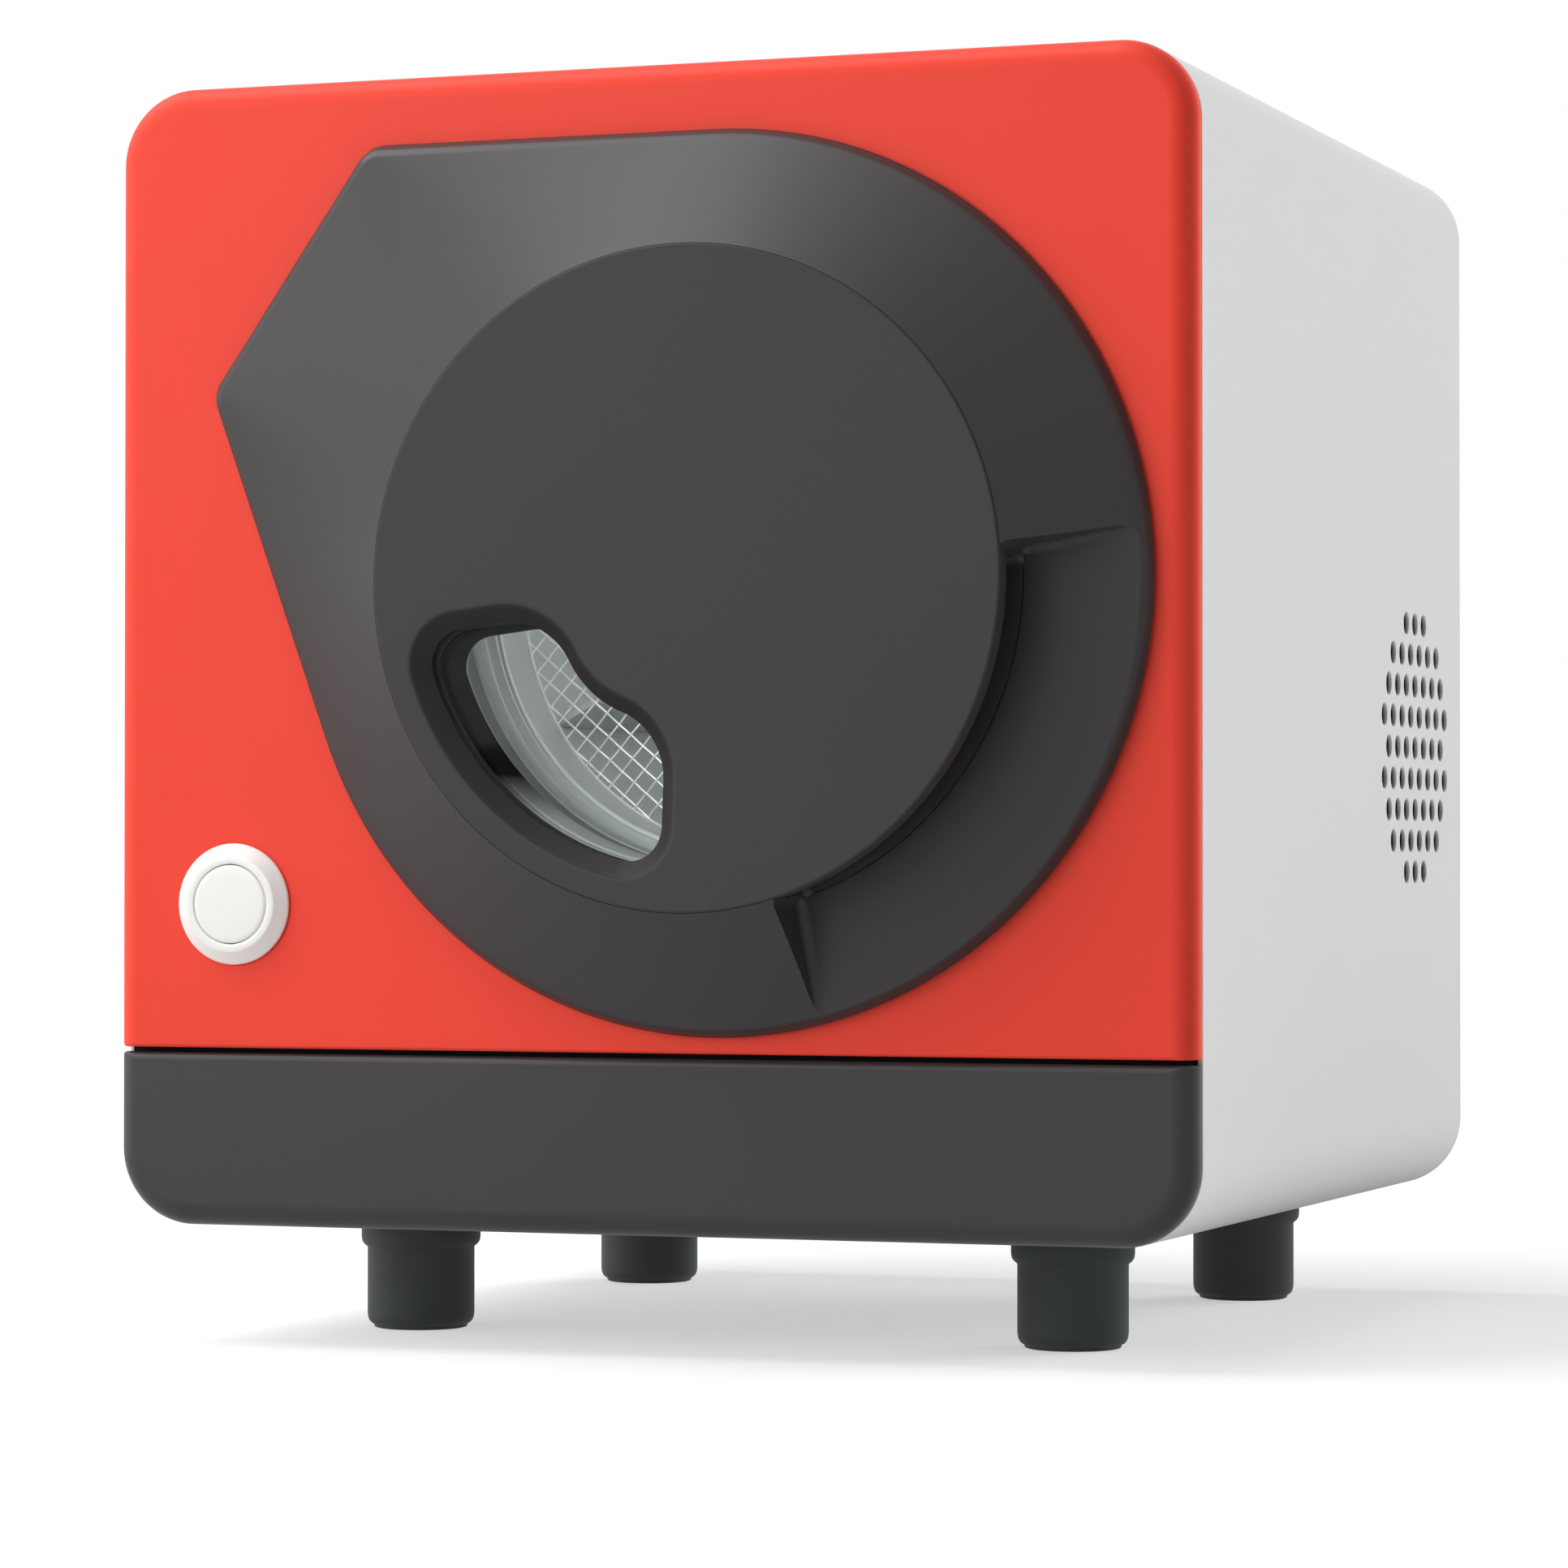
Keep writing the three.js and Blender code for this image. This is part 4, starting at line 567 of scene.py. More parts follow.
SLEEVE = [(0.8, 6.5), (0.35, 6.55), (0.1, 6.7), (0.0, 7.0), (0.0, 60.0), (0.0, 120.0),
          (0.0, 180.0), (0.0, 239.3), (0.08, 239.65), (0.3, 239.9), (0.6, 240.0), (0.9, 239.9),
          (1.12, 239.65), (1.2, 239.3), (1.2, 7.0), (1.1, 6.6)]     # (inset, y)
VENT_Y, VENT_Z = 192.3, 104.4           # the middle of the field of vents
VENT_STEP_Y, VENT_STEP_Z = 8.64, 7.22
VENT_ROWS = (3, 6, 7, 8, 7, 8, 7, 6, 3)
VENT_R, VENT_BACK_R = 2.45, 3.5
SCREW_X, SCREW_Z = 110.8, (25.0, 219.0)
SCREW_HOLE = 2.3
TAB_X, TAB_Y = (102.8, 119.4), (221.7, 233.7)
INNER_SKIN = -1.15                      # the wall is 1.2 thick
REAR_RIM_Y = 239


def vent(y, z):
    """A cutter through the right wall with a rounded edge outside."""
    side = WIDTH / 2
    stations = [(side - 4, VENT_BACK_R), (side - 0.7, VENT_BACK_R), (side - 0.65, VENT_R)]
    for i in range(1, 8):
        turn = math.pi / 2 * i / 7
        stations.append((side - 0.6 + 0.6 * math.sin(turn), VENT_R + 0.5 * (1 - math.cos(turn))))
    stations.append((side + 2, VENT_R + 0.5))
    return loft("vent", [[(x, a, b) for a, b in circle((y, z), radius, 28)]
                         for x, radius in stations])


def screw_hole(x, z, y0, y1):
    profile = [(0, y0), (SCREW_HOLE, y0), (SCREW_HOLE, y1), (0, y1)]
    return lathe("hole", profile, 40, (x, z))


def outside_by(x, z):
    """How far a point lies outside the casing's outer surface; negative inside it."""
    aside, above = abs(x) - WIDTH / 2, abs(z - HEIGHT / 2) - HEIGHT / 2
    corner = math.hypot(max(aside + CORNER, 0), max(above + CORNER, 0)) - CORNER
    return max(aside, above, corner)


casing = hoop("outer_casing_skin", layers(lambda inset: casing_outline(inset, 20), SLEEVE))
vents = []
for row, total in enumerate(VENT_ROWS):
    for i in range(total):
        vents.append(vent(VENT_Y + (i - (total - 1) / 2) * VENT_STEP_Y,
                          VENT_Z + (row - 4) * VENT_STEP_Z))
carve(casing, [join(vents, "vents")])
tabs = []
for side in (-1, 1):
    for z in SCREW_Z:
        tab = box("tab", sorted(side * x for x in TAB_X), TAB_Y, (z - 5, z + 5))
        carve(tab, [screw_hole(side * SCREW_X, z, 210, 240)])
        tabs.append(tab)
for tab in tabs:
    carve(casing, [tab], "UNION")
crisp(casing, 30, weighted=True)
dress(casing, CASING, "housing", "casing_white", "outer_casing")
# painted shade: the casing's inner faces take the near-black colour, so the vents look dark inside
casing.data.materials.append(SHADE_BLACK)
for poly in casing.data.polygons:
    x, y, z = poly.center / MM - SHIFT
    if outside_by(x, z) < INNER_SKIN and y < REAR_RIM_Y:
        poly.material_index = 1


# ---------------------------------------------------------------- rear

FAN = (46.0, 172.0)
INLET = (70.0, 36.0)
GRILLE_R, SLOT_PITCH, SLOT_HEIGHT = 35.0, 7.8, 4.2
PLATE = [(1.9, 234.0), (1.6, 234.3), (1.6, 235.5), (1.75, 235.85), (2.1, 236.0)]    # (inset, y)
COLLAR = [(36.5, 235.0), (40.0, 235.0), (40.0, 237.1), (39.85, 237.4), (39.5, 237.5),
          (37.0, 237.5), (36.65, 237.4), (36.5, 237.1)]
THROUGH = (230, 239)                    # y in front of the plate and behind it

plate = loft("rear_panel_skin", layers(lambda inset: casing_outline(inset, 18), PLATE))
slots = []
for row in range(-4, 5):
    z = row * SLOT_PITCH
    half = math.sqrt(GRILLE_R ** 2 - z * z)
    slots.append(round_box("slot", (FAN[0], FAN[1] + z), 2 * half, SLOT_HEIGHT, 2.05,
                           *THROUGH, 10))
carve(plate, [join(slots, "slots")])
carve(plate, [round_box("socket", INLET, 27.6, 20.6, 0.8, *THROUGH)])
holes = [screw_hole(x, z, *THROUGH) for x in (-SCREW_X, SCREW_X) for z in SCREW_Z]
carve(plate, [join(holes, "holes")])
carve(plate, [lathe("collar", COLLAR, 160, FAN, closed=True)], "UNION")
crisp(plate, 30, weighted=True)
dress(plate, CHARCOAL, "housing", "plastic_charcoal", "rear_panel")

SCREW = [(0, 224.3), (1.4, 224.5), (2, 225.4), (2, 236.3), (3.9, 236.3), (4.2, 236.5),
         (4.2, 237.2), (4.0, 237.7), (3.4, 238.2), (2.4, 238.55), (1.2, 238.68), (0, 238.7)]
CROSS = ((237.0, 1.3, 0.35), (239.5, 2.5, 0.62))    # (y, half length, half width) of its slot

for height, z in zip(("low", "high"), SCREW_Z):
    for side, x in (("left", -SCREW_X), ("right", SCREW_X)):
        screw = lathe(f"screw_{height}_{side}", SCREW, 64, (x, z))
        turn = 20 + 50 * (x > 0) + 31 * (z > 100)
        for quarter_turn in (0, 90):
            c, s = polar(1, turn + quarter_turn)
            rings = []
            for y, half, wide in CROSS:
                spots = ((-half, -wide), (half, -wide), (half, wide), (-half, wide))
                rings.append([(x + a * c - b * s, y, z + a * s + b * c) for a, b in spots])
            carve(screw, [loft("bar", rings)])
        crisp(screw, 38)
        dress(screw, DARK, "housing", "dark_steel", f"rear_screw_{height}_{side}")


# ---------------------------------------------------------------- feet

FOOT_X, FOOT_Y = 75.85, (62.3, 201.9)
FOOT = [(0, -25.8), (9.7, -25.8), (10.2, -25.65), (10.4, -25.3), (10.45, -25.0), (11.0, -24.75),
        (11.5, -24.2), (11.78, -23.4), (11.9, -22.4), (11.9, -8.0), (12.0, -7.75), (12.6, -7.3),
        (13.05, -6.7), (13.2, -6.0), (13.25, -5.3), (13.25, -0.5), (13.05, -0.3), (2.3, -0.3),
        (2.3, -20.3), (0, -20.3)]

for side, x in (("left", -FOOT_X), ("right", FOOT_X)):
    for end, y in zip(("front", "rear"), FOOT_Y):
        foot = lathe(f"foot_{end}_{side}_skin", FOOT, 96, (x, y), upright=True)
        crisp(foot, 50)
        dress(foot, RUBBER, "housing", "foot_rubber", f"foot_{end}_{side}")


# ---------------------------------------------------------------- start button

RING = [(8.55, -2.45), (8.65, -2.58), (8.8, -2.62), (10.1, -2.62), (10.28, -2.56),
        (10.42, -2.44), (12.55, -1.05), (12.8, -0.84), (12.93, -0.6), (12.93, -0.42),
        (12.8, -0.3), (9.4, -0.3), (9.4, 16), (8.3, 16), (8.3, 3), (8.55, 2.8)]
CAP = [(0, -2.72), (7.2, -2.72), (7.9, -2.69), (8.15, -2.62), (8.3, -2.48), (8.33, -2.3),
       (8.33, 0.0), (8.0, 0.3), (8, 1.3), (4.2, 1.3), (4.2, -0.9), (2.2, -0.9), (2.2, 1.3),
       (1.6, 1.3), (1.6, 4.8), (0, 4.8)]

ring = lathe("button_ring_skin", RING, 128, BUTTON, closed=True)
crisp(ring, 40)
dress(ring, PEARL, "housing", "button_white", "button_ring")

cap = lathe("button_cap_skin", CAP, 128, BUTTON)
crisp(cap, 40)
dress(cap, PEARL, "button", "button_white", "button_cap")


# ---------------------------------------------------------------- hinge and catch

PIN_BORE = 0.9
PIN = ((-29, 0.4), (-28.85, 0.55), (-28.7, 0.6), (28.7, 0.6), (28.85, 0.55), (29, 0.4))

for name, along in zip(("lower", "upper"), KNUCKLES):
    barrel = hinge_rod("hinge_" + name, 1.4, along, 4, 64)
    carve(barrel, [hinge_block("leg", (-1.3, -0.3), (HINGE_Y, 5.0), along, 3.98)], "UNION")
    carve(barrel, [hinge_block("base", (-6, 6), (3.7, 6.2), along, 7)], "UNION")
    carve(barrel, [hinge_rod("bore", PIN_BORE, along, 9, 32)])
    soften(barrel, 0.15, 2, 40)
    dress(barrel, DARK, "housing", "dark_steel", "hinge_bracket_" + name)

rod = loft("hinge_rod", [[hinge_point(along, y, out)
                          for out, y in arc(0, HINGE_Y, radius, 0, 345, 23)]
                         for along, radius in PIN])
crisp(rod, 40)
dress(rod, STEEL, "housing", "polished_steel", "hinge_pin")

strike = lathe("strike_disc", [(0, 0.3), (6.6, 0.3), (6.9, 0.4), (7, 0.65), (7, 1.6), (0, 1.6)],
               96, MAGNET)
crisp(strike, 50)
dress(strike, STEEL, "housing", "polished_steel", "strike_plate")


# ---------------------------------------------------------------- mains inlet

HOLLOW = [(-11.5, -8), (11.5, -8), (11.5, 4.5), (8.0, 8), (-8.0, 8), (-11.5, 4.5)]
CONTACTS = ((-7, 0), (0, -2), (7, 0))

inlet = round_box("inlet_socket_skin", INLET, 35, 20, 2.2, 236.3, 238, 8, 0.5)
carve(inlet, [round_box("body", INLET, 27, 20, 1.2, 218, 237)], "UNION")
carve(inlet, [prism("hollow", [(INLET[0] + x, INLET[1] + z) for x, z in HOLLOW], 220, 241)])
for x, z in CONTACTS:
    pin = round_box("pin", (INLET[0] + x, INLET[1] + z - 0.5), 2, 5, 0.4, 219, 232, 4, 0.4)
    carve(inlet, [pin], "UNION")
crisp(inlet, 35)
dress(inlet, DARK, "housing", "plastic_charcoal", "inlet_socket")


# ---------------------------------------------------------------- door

DOOR_R = 93.8                           # its round part
TANGENT = 54.9                          # from the hinge's direction to those of the flat sides
DOOR_CORNER = 7.5
DOOR_CORNER_TURNS = (130.6, 159.2)
FACE_P, RIM_P, BACK_P = 21.6, 5.4, 0.8  # how far it stands out: the disc, the rim and the back
RECESS = (-74.5, 5.0)                   # the finger recess, from angle to angle
POCKET_R, POCKET_P = 68.06, 17.0        # the pocket that the face disc lies in
END_FILLET, END_CORNER, END_DRAFT = 2.3, 1.8, 0.3


def door_reach(inset, turns):
    """Distance from the axis to the door's outline, drawn in by an inset, at each angle."""
    corner = max(DOOR_CORNER - inset, 0.3)
    out = HINGE_REACH - inset - corner
    tangent = math.radians(TANGENT)
    along = (DOOR_R - inset - corner - out * math.cos(tangent)) / math.sin(tangent)
    spots = arc(0, 0, DOOR_R - inset, HINGE_TURN + TANGENT, HINGE_TURN - TANGENT + 360, 900)
    c, s = polar(1, HINGE_TURN)
    for side, start in ((1, HINGE_TURN - TANGENT), (-1, HINGE_TURN)):
        spots += arc(out * c + side * along * s, out * s - side * along * c,
                     corner, start, start + TANGENT, 40)
    dense = []
    for (x0, z0), (x1, z1) in zip(spots, spots[1:] + spots[:1]):
        steps = max(1, int(math.hypot(x1 - x0, z1 - z0) / 0.4))
        dense += [(x0 + (x1 - x0) * i / steps, z0 + (z1 - z0) * i / steps)
                  for i in range(steps)]
    dense = np.array(dense)
    turn = np.degrees(np.arctan2(dense[:, 1], dense[:, 0])) % 360
    order = np.argsort(turn)
    reach = np.hypot(dense[:, 0], dense[:, 1])
    return np.interp(np.asarray(turns) % 360, turn[order], reach[order], period=360)


def door_turns():
    """The angles of the door's mesh, close together at its corners and at the recess's ends."""
    turns = list(np.arange(0, 360, 0.8))
    for corner in DOOR_CORNER_TURNS:
        turns += list(np.arange(corner - 4.5, corner + 4.5, 0.12))
    for end, way in zip(RECESS, (1, -1)):
        turns += [end + way * step for step in np.arange(-2.2, 5.5, 0.06)]
    turns = np.unique(np.round(np.array(turns) % 360, 3))
    keep = [turns[0]]
    for turn in turns[1:]:
        if turn - keep[-1] > 0.045:
            keep.append(turn)
    return np.array(keep)


def recess_floor(radius, turn):
    """Height of the finger recess's floor and end walls at a radius and an angle."""
    share = np.clip((radius - POCKET_R) / 22, 0, 1.1)
    low = RECESS[0] + 1.4 - 2.1 * share
    high = RECESS[1] + 1.3 * share
    middle = (low + high) / 2
    away = (high - low) / 2 - np.abs((turn - middle + 180) % 360 - 180)
    u = radius * np.radians(away)
    v = radius - POCKET_R
    near = np.where(v < 0, u - END_CORNER, u)
    corner = END_CORNER - np.hypot(END_CORNER - u, END_CORNER - v)
    inside = np.where((v >= 0) & (v < END_CORNER) & (u < END_CORNER), corner, near)
    floor = 7.0 - 2.5 * np.clip((radius - 68) / 24, 0, 1.1) ** 1.5
    rise = np.clip(1 - inside / END_FILLET, 0, 1)
    fillet = END_FILLET * (1 - np.sqrt(1 - rise ** 2))
    return floor + fillet + np.maximum(-inside, 0) * (16 / END_DRAFT)


def flowing(reach, turns, spread):
    """The reach at each angle, averaged over the angles around it."""
    if spread < 0.02:
        return reach
    even = np.arange(0, 360, 0.1)
    values = np.interp(even, turns, reach, period=360)
    away = np.minimum(even, 360 - even)
    weight = np.exp(-0.5 * (away / spread) ** 2)
    blurred = np.fft.irfft(np.fft.rfft(values) * np.fft.rfft(weight / weight.sum()), len(even))
    return np.interp(turns, even, blurred, period=360)


def soft_min(a, b, width):
    h = np.clip(0.5 + 0.5 * (b - a) / width, 0, 1)
    return b * (1 - h) + a * h - width * h * (1 - h)


RIM = [(2.9, RIM_P), (2.38, 5.03), (1.88, 4.62), (1.43, 4.15), (1.08, 3.6), (0.8, 3.0),
       (0.58, 2.4)]                                     # (inset, height)
FOLD = ((0.38, 1.8), (0, 1.0), (0.12, 0.85), (0.35, BACK_P))
DOOR_BACK = ((75.3, BACK_P), (75.0, 1.1), (75.0, 2.6), (69.0, 2.6), (69.0, 1.1),
             (68.7, BACK_P), (63.3, BACK_P), (63.0, 1.1), (63.0, 5.2), (54.0, 5.2))


def door_skin():
    """The door's shell, as rings from the pocket's floor over the slope and rim to the back."""
    turns = door_turns()
    drops = np.linspace(RIM[0][1], RIM[-1][1], 22)[1:]
    insets = np.interp(-drops, [-height for _, height in RIM], [inset for inset, _ in RIM])
    rim = list(zip(insets.round(4), drops))
    outline = {inset: door_reach(inset, turns) for inset, _ in rim + list(FOLD) + RIM[:1]}
    rows = []

    def row(radius, height):
        rows.append((np.broadcast_to(radius, turns.shape), np.broadcast_to(height, turns.shape)))

    row(54.0, POCKET_P)
    row(58.0, POCKET_P)
    for radius in list(np.arange(58.0, 68.3, 0.8)) + [68.3]:
        row(radius, np.minimum(POCKET_P, recess_floor(np.full(turns.shape, radius), turns)))
    top = outline[RIM[0][0]]
    shares = np.concatenate([np.linspace(0, 0.12, 12), np.linspace(0.12, 0.9, 46)[1:],
                             np.linspace(0.9, 1, 12)[1:]])
    for share in shares:
        edge = flowing(top, turns, 6.5 * (1 - share) ** 0.7)
        radius = POCKET_R + (edge - POCKET_R) * share
        slope = FACE_P - (FACE_P - RIM_P) * share
        row(radius, soft_min(slope, recess_floor(radius, turns), 0.3))
    for inset, height in rim:
        row(outline[inset], soft_min(height, recess_floor(outline[inset], turns), 0.16))
    for inset, height in FOLD:
        row(outline[inset], height)
    for radius, height in DOOR_BACK:
        row(radius, height)
    c, s = np.cos(np.radians(turns)), np.sin(np.radians(turns))
    return loft("door_skin", [list(zip(AXIS[0] + r * c, -p, AXIS[1] + r * s)) for r, p in rows])


WINDOW_TURN = 227.5     # the direction of the window's middle


def window_outline(inset):
    """A quarter ring with round corners, whose inner side narrows to a waist."""
    reach, corner_r, half_turn, lobe_reach, lobe_r, waist = 62.5, 10.8, 40.5, 44.9, 18.0, 8.7
    count = 18
    corner_turn = half_turn - math.degrees(math.asin(corner_r / (reach - corner_r)))
    lobe_turn = half_turn - math.degrees(math.asin(lobe_r / lobe_reach))
    corner = polar(reach - corner_r, corner_turn)
    lobe = polar(lobe_reach, lobe_turn)
    span = math.hypot(lobe[0] - waist, lobe[1])
    waist_turn = math.degrees(math.atan2(lobe[1], lobe[0] - waist))
    half = (arc(0, 0, reach - inset, 0, corner_turn, count)
            + arc(*corner, corner_r - inset, corner_turn, half_turn + 90, count)[1:]
            + arc(*lobe, lobe_r - inset, half_turn + 90, waist_turn + 180, count)
            + arc(waist, 0, span - lobe_r + inset, waist_turn, 0, count)[1:])
    whole = half + [(x, -z) for x, z in half[1:-1][::-1]]
    c, s = polar(1, WINDOW_TURN)
    return [(AXIS[0] + x * c - z * s, AXIS[1] + x * s + z * c) for x, z in whole]


SHAFT = ((3.45, 0.0, -18.2), (3.45, 0.0, -11.6), (3.85, 0.1, -11.45), (3.95, 0.3, -9.0),
         (4.1, 1.3, -5.5), (4.1, 1.3, -4.0))            # (inset, shift to the right, y)


def shaft_rings(out, start, end):
    """Rings of the opening behind the glass, which leans to the right, made wider by out."""
    levels = [level for level in SHAFT if start < level[2] < end]
    levels = [(*levels[0][:2], start)] + levels + [(*levels[-1][:2], end)]
    return [[(x + shift, y, z) for x, z in window_outline(inset - out)]
            for inset, shift, y in levels]


ROUND_R, ROUND_INSET, FACE_Y = 2.0, -0.83, -22      # the rounded edge of the window's opening


def bevel(start, end, count, drop=0.0):
    """(inset, y) along that edge, between two angles."""
    turns = [math.radians(start + (end - start) * i / count) for i in range(count + 1)]
    return [(ROUND_INSET + ROUND_R * math.sin(t), FACE_Y + ROUND_R * (1 - math.cos(t)) + drop)
            for t in turns]


door = door_skin()
corner = hinge_block("cut", (0, 60), (HINGE_Y, 5), 0, 140)
carve(corner, [hinge_rod("round", HINGE_ROUND, 0, 150, 64)])
cutters = [
    loft("cut", shaft_rings(0.0, -25, 5)),
    prism("cut", window_outline(0.25), -25, -13.95),
    lathe("cut", [(0, -4.4), (5.3, -4.4), (5.3, 5), (0, 5)], 64, MAGNET),
    corner,
    hinge_rod("cut", PIN_BORE, 0, 29.3, 32),
]
cosine, sine = polar(1, 20)
swing = [(d * cosine + t * sine, HINGE_Y - d * sine + t * cosine)
         for d, t in ((0, 0.15), (60, 0.15), (60, 4), (0, 4))]
for along in KNUCKLES:
    cutters.append(hinge_rod("cut", 1.55, along, 4.3, 48))
    cutters.append(hinge_block("cut", (-1.45, 60), (HINGE_Y, 5), along, 4.3))
    cutters.append(hinge_prism("cut", swing, along, 4.3))
carve(door, cutters)
crisp(door, 32, weighted=True)
dress(door, CHARCOAL, "door", "plastic_charcoal", "door_shell")

DISC = [(0, -22), (67.45, -22), (67.66, -21.95), (67.84, -21.82), (67.96, -21.64), (68, -21.45),
        (68, -17.6), (67.8, -17.3), (0, -17.3)]
disc = lathe("door_disc_skin", DISC, 360)
opening = [(ROUND_INSET, -23.0)] + bevel(0, 20, 5) + [(-0.14, -15)]
carve(disc, [loft("cut", layers(window_outline, opening))])
crisp(disc, 30, weighted=True)
dress(disc, FLAT_CHARCOAL, "door", "plastic_charcoal", "door_disc")

# from partway round the window's rounded edge, the bezel carries the darker painted shade colour
edge = bevel(16, 45, 7, 0.02) + [(3.3, -18.7), (3.42, -18.6), (3.45, -18.5), (3.45, -18.3),
                                 (-0.4, -18.3), (-0.4, -21.8)]
bezel = hoop("window_bezel", layers(window_outline, edge))
crisp(bezel, 30)
dress(bezel, BEZEL_SHADE, "door", "plastic_charcoal", "door_disc")

outside = shaft_rings(-0.02, -13.9, -5.3)
inside = shaft_rings(-0.28, -13.9, -5.3)
# the sleeve's material paints light on its lower side
sleeve = hoop("window_sleeve", outside + inside[::-1])
crisp(sleeve, 30)
dress(sleeve, PAINTED_LOWER_LIGHT, "door", "plastic_charcoal", "window_gasket")

pane = loft("window_pane", layers(window_outline, (
    (0.85, -17.25), (0.55, -16.95), (0.55, -14.55), (0.85, -14.25))))
crisp(pane, 30)
dress(pane, GLASS, "door", "window_glass", "window_glass")

gasket = prism("window_gasket_skin", window_outline(0.55), -18.25, -17.55)
carve(gasket, [prism("cut", window_outline(3.15), -20, -15)])
crisp(gasket, 30)
dress(gasket, RUBBER, "door", "foot_rubber", "window_gasket")

LINER = [(0, -4.9), (62.5, -4.9), (62.7, -4.7), (62.7, -4.3), (62.5, -4.1), (56, -4.1),
         (55.4, -4.35), (54.6, -4.35), (54, -4.1), (0, -4.1)]
liner = lathe("door_liner_skin", LINER, 256)
carve(liner, [prism("cut", [(x + 1.3, z) for x, z in window_outline(4.1)], -10, 5)])
crisp(liner, 35)
dress(liner, SHEET, "door", "sheet_steel", "door_liner")

SEAL = [(69.3, -2.3), (74.7, -2.3), (74.7, -1.3), (73.9, -0.95), (73.4, -0.45), (72.6, -0.3),
        (71.4, -0.3), (70.6, -0.45), (70.1, -0.95), (69.3, -1.3)]
seal = lathe("door_seal_skin", SEAL, 256, closed=True)
crisp(seal, 60)
dress(seal, SILICONE, "door", "silicone", "door_seal")

magnet = lathe("door_magnet_skin", [(0, -4.1), (5, -4.1), (5, -1.5), (4.85, -1.2), (4.6, -1.1),
                                    (0, -1.1)], 64, MAGNET)
crisp(magnet, 50)
dress(magnet, STEEL, "door", "polished_steel", "door_magnet")


# ---------------------------------------------------------------- chamber mouth and drum

LIP = [(58.6, -1.0), (58.7, -1.7), (59.0, -2.15), (59.6, -2.4), (60.7, -2.4), (61.2, -2.2),
       (61.6, -1.8), (61.8, -1.2), (61.8, 5.3), (58.6, 5.3)]
lip = lathe("chamber_mouth_lip", LIP, 256, closed=True)
crisp(lip, 50)
dress(lip, DARK_LIP_STEEL, "housing", "polished_steel", "chamber_mouth")

MOUTH = [(58.7, 5.35), (58.4, 5.45), (58.15, 5.7), (58.05, 6.0), (58.15, 6.3), (58.4, 6.55),
         (58.6, 6.9), (58.6, 13.0), (58.3, 13.4), (56.7, 13.8), (56.3, 14.0), (56.2, 14.3),
         (56.4, 14.5), (65.4, 14.5), (65.7, 14.2), (65.7, 11.8), (65.4, 11.5), (62.1, 11.5),
         (61.8, 11.2), (61.8, 5.35)]
mouth = lathe("chamber_mouth_skin", MOUTH, 256, closed=True)
crisp(mouth, 50)
dress(mouth, DULL_STEEL, "housing", "polished_steel", "chamber_mouth")

DRUM_RING = [(55.4, 15.4), (55.5, 15.0), (55.8, 14.8), (56.7, 14.8), (56.9, 14.9), (57, 15.1),
             (57, 28.4), (56.7, 28.7), (55.7, 28.7), (55.4, 28.4)]
drum_ring = lathe("drum_ring_skin", DRUM_RING, 256, closed=True)
crisp(drum_ring, 50)
dress(drum_ring, RING_STEEL, "drum", "sheet_steel", "drum_front_ring")

SCREEN_Y, SCREEN_TURN, SCREEN_R, CHARGE_R = 29.4, 49.5, 55.6, 25.0
WIRE_R, WIRE_PITCH, WIRE_WAVE, WIRE_SIDES = 0.24, 3.6, 0.13, 6
SCREEN_RIM = [(55.1, 29.0), (56.5, 29.0), (56.7, 29.2), (56.7, 29.6), (56.5, 29.8), (55.1, 29.8)]
CHARGE_RIM = [(24, 29.1), (24.1, 29), (25.9, 29), (26, 29.1), (26, 29.7), (25.9, 29.8),
              (24.1, 29.8), (24, 29.7)]


def wire(across, low, high, turn, lift):
    """Rings along one wire, which passes over and under those that cross it."""
    steps = max(2, int((high - low) / (WIRE_PITCH / 6)))
    c, s = polar(1, turn)
    rings = []
    for i in range(steps + 1):
        along = low + (high - low) * i / steps
        y = SCREEN_Y + lift * WIRE_WAVE * math.cos(math.pi * along / WIRE_PITCH)
        rings.append([(AXIS[0] + along * c - side * s, depth, AXIS[1] + along * s + side * c)
                      for side, depth in circle((across, y), WIRE_R, WIRE_SIDES)])
    return rings


def screen():
    """The drum's woven screen, round its charge hole, with both its rims."""
    points, faces = [], []
    lines = int(SCREEN_R / WIRE_PITCH)
    for way in (0, 90):
        for k in range(-lines, lines + 1):
            across = k * WIRE_PITCH
            half = math.sqrt(SCREEN_R ** 2 - across ** 2)
            lift = (1 if k % 2 else -1) * (1 if way else -1)
            spans = [(-half, half)]
            if abs(across) < CHARGE_R:
                inner = math.sqrt(CHARGE_R ** 2 - across ** 2)
                spans = [(-half, -inner), (inner, half)]
            for low, high in spans:
                more, sides = capped(wire(across, low, high, SCREEN_TURN + way, lift))
                faces += [tuple(len(points) + n for n in face) for face in sides]
                points += more
    wires = build("wires", points, faces)
    rim = lathe("rim", SCREEN_RIM, 256, closed=True)
    charge = lathe("hub", CHARGE_RIM, 128, closed=True)
    crisp(rim, 50)
    crisp(charge, 50)
    return join([wires, rim, charge], "drum_screen_skin")


dress(screen(), WIRE, "drum", "polished_steel", "drum_front_screen")

WALL = [(56.2, 30.1), (57, 30.1), (57, 70), (57, 110), (57, 138), (56.2, 138), (56.2, 110),
        (56.2, 70)]
drum_wall = lathe("drum_wall_skin", WALL, 192, closed=True)
crisp(drum_wall, 50)
dress(drum_wall, SATIN, "drum", "sheet_steel", "drum_wall")

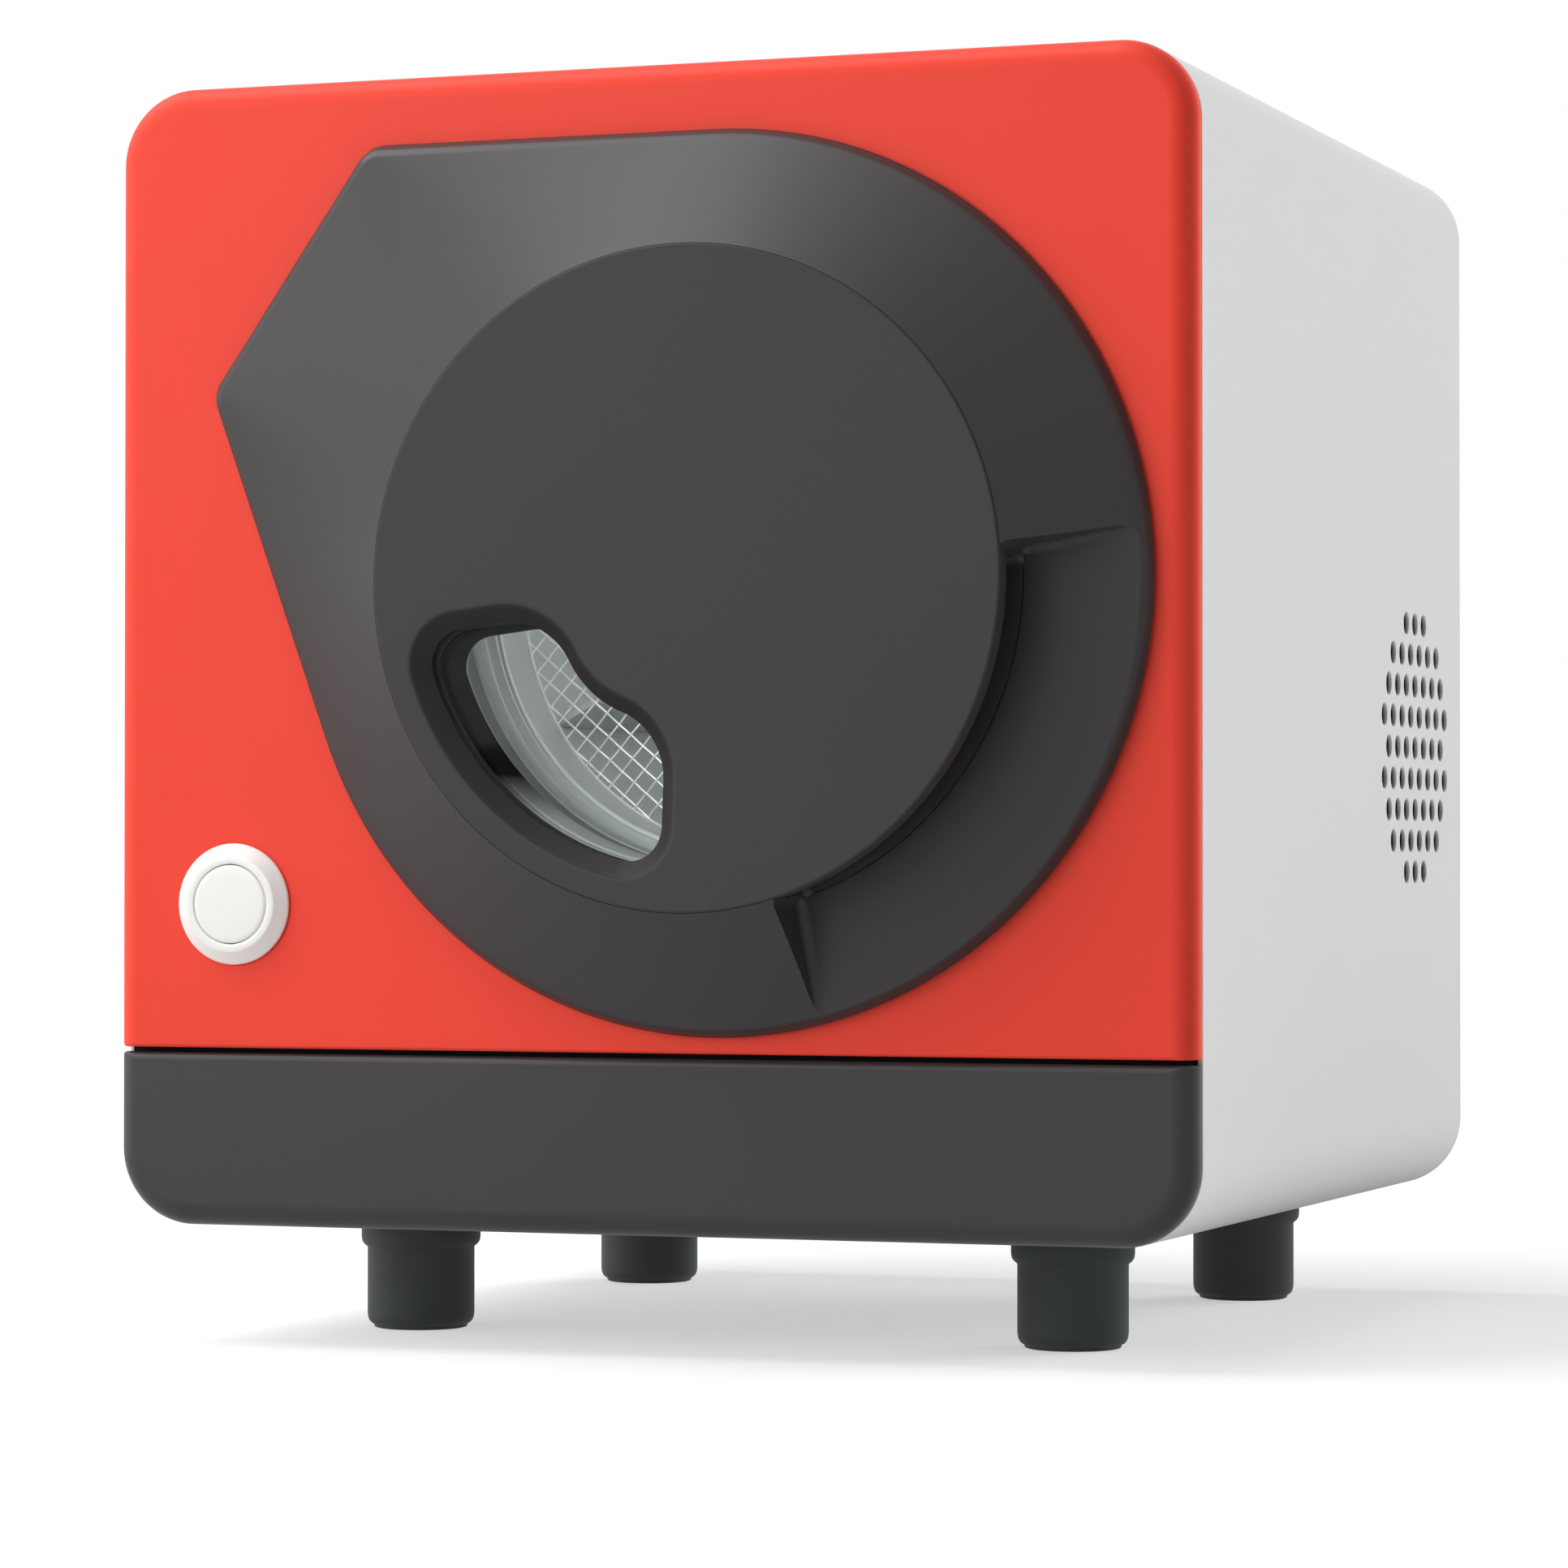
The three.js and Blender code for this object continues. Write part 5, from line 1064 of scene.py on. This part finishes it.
BACK = [(0, 138.3), (40, 138.3), (41, 138.6), (44, 138.6), (45, 138.3), (56.8, 138.3),
        (57, 138.5), (57, 139.6), (56.8, 139.8), (0, 139.8)]
back = lathe("drum_back_skin", BACK, 192)
crisp(back, 50)
dress(back, SATIN, "drum", "sheet_steel", "drum_back_plate")


# ---------------------------------------------------------------- carried-over nodes

# the front bulkhead is near black as painted shade for the gap under the red panel
FINISH = {
    "base_tray": SHEET, "front_bulkhead": SHADE_BLACK, "rear_bulkhead": SHEET,
    "button_spring": STEEL, "button_switch": DARK, "button_nut": DARK,
    "chamber_shell": SHEET, "chamber_insulation": FIBRE, "chamber_lamp": LAMP_GLASS,
    "heating_element_left": DARK, "heating_element_right": DARK, "temperature_probe": STEEL,
    "drum_vane_1": RING_STEEL, "drum_vane_2": RING_STEEL, "drum_vane_3": RING_STEEL,
    "drum_bearing": BRASS, "drum_shaft": STEEL, "drum_gear": BRASS,
    "drive_pinion": BRASS, "motor_bracket": SHEET, "gear_motor": DARK,
    "exhaust_duct": SHEET, "fan_frame": RUBBER, "fan_impeller": RUBBER,
    "control_board": BOARD, "foot_screw_front_left": DARK, "foot_screw_front_right": DARK,
    "foot_screw_rear_left": DARK, "foot_screw_rear_right": DARK,
}
for name, mat in FINISH.items():
    paint(NODES[name], mat)


# ---------------------------------------------------------------- floor, light and camera

AMBIENT = 0.03          # level of the world's light on the object
FLOOR_REACH = 60        # metres
FLOOR_GREY = 0.55
FLOOR_GLOW = 0.5        # what the floor adds where it is seen, so that it shows pale
BOX_TOWARDS = Vector((-0.46, -0.83, 0.31))
BOX_TARGET = Vector((0, -0.109, 0.15))
BOX_DISTANCE, BOX_SIZE, BOX_LEVEL = 0.8, 0.55, 0.41
GLOW_WATTS = 0.038


def light_path_mask(tree):
    """A socket that is 1 for camera, glossy and transmission rays."""
    path = add(tree, "LightPath")
    total = path.outputs["Is Camera Ray"]
    for ray in ("Is Glossy Ray", "Is Transmission Ray"):
        either = add(tree, "Math", operation="MAXIMUM")
        links(tree, (total, either.inputs[0]), (path.outputs[ray], either.inputs[1]))
        total = either.outputs[0]
    return total


def aim(towards):
    """The rotation of a lamp that shines from this direction."""
    return Vector(towards).to_track_quat("Z", "Y").to_euler()


def sun(name, towards, level, spread):
    """A soft lamp far off; level is what it adds to a white face that is square to it."""
    lamp = bpy.data.lights.new(name, "SUN")
    lamp.energy = math.pi * level
    lamp.angle = math.radians(spread)
    obj = link(name, lamp)
    obj.rotation_euler = aim(towards)
    return obj


def disk(name, size, watts, location, rotation):
    """A round lamp; its size and location are in metres."""
    lamp = bpy.data.lights.new(name, "AREA")
    lamp.shape = "DISK"
    lamp.size = size
    lamp.energy = watts
    obj = link(name, lamp)
    obj.location = location
    obj.rotation_euler = rotation
    return obj


sky = bpy.data.worlds.new("studio")
bpy.context.scene.world = sky
sky.use_nodes = True
tree = sky.node_tree
ground = tree.nodes["Background"]
ground.inputs["Color"].default_value = (1, 1, 1, 1)
level = add(tree, "MapRange", {"To Min": AMBIENT, "To Max": 1.0})
links(tree, (light_path_mask(tree), level.inputs["Value"]),
      (level.outputs["Result"], ground.inputs["Strength"]))

floor = link("floor", bpy.data.meshes.new("floor"))
floor.data.from_pydata([(FLOOR_REACH * x, FLOOR_REACH * y, 0)
                        for x, y in ((-1, -1), (1, -1), (1, 1), (-1, 1))], [], [(0, 1, 2, 3)])
pale, tree, shader = surface("pale_floor", {
    "Base Color": (FLOOR_GREY, FLOOR_GREY, FLOOR_GREY, 1), "Roughness": 0.9,
    "Specular IOR Level": 0.1, "Emission Color": (1, 1, 1, 1)})
lift = add(tree, "Math", {1: FLOOR_GLOW}, operation="MULTIPLY")
links(tree, (light_path_mask(tree), lift.inputs[0]),
      (lift.outputs[0], shader.inputs["Emission Strength"]))
floor.data.materials.append(pale)

sun("key", (-0.57, -0.15, 0.80), 0.66, 50)
sun("high", (-0.15, -0.25, 0.95), 0.18, 40)
sun("left", (-0.95, -0.30, 0.08), 0.25, 45)
sun("rear_right", (0.61, 0.78, 0.14), 1.16, 40).visible_glossy = False
disk("softbox", BOX_SIZE, math.pi ** 2 * BOX_DISTANCE ** 2 * BOX_LEVEL,
     BOX_TARGET + BOX_DISTANCE * BOX_TOWARDS, aim(BOX_TOWARDS)).visible_camera = False
disk("drum_glow", 0.05, GLOW_WATTS, world(AXIS[0], 4, AXIS[1]), (math.pi / 2, 0, 0))

camera = link("camera", bpy.data.cameras.new("camera"))     # fitted to the photograph
camera.data.sensor_width = 36
camera.data.lens = 122.69
camera.data.clip_start = 0.05
camera.data.clip_end = 200
camera.location = (0.40726, -1.14084, 0.10382)
camera.rotation_euler = (math.pi / 2 + 0.0144, -0.0003, 0.3481)
bpy.context.scene.camera = camera

bpy.context.scene.view_settings.view_transform = "Standard"

bpy.context.view_layer.update()
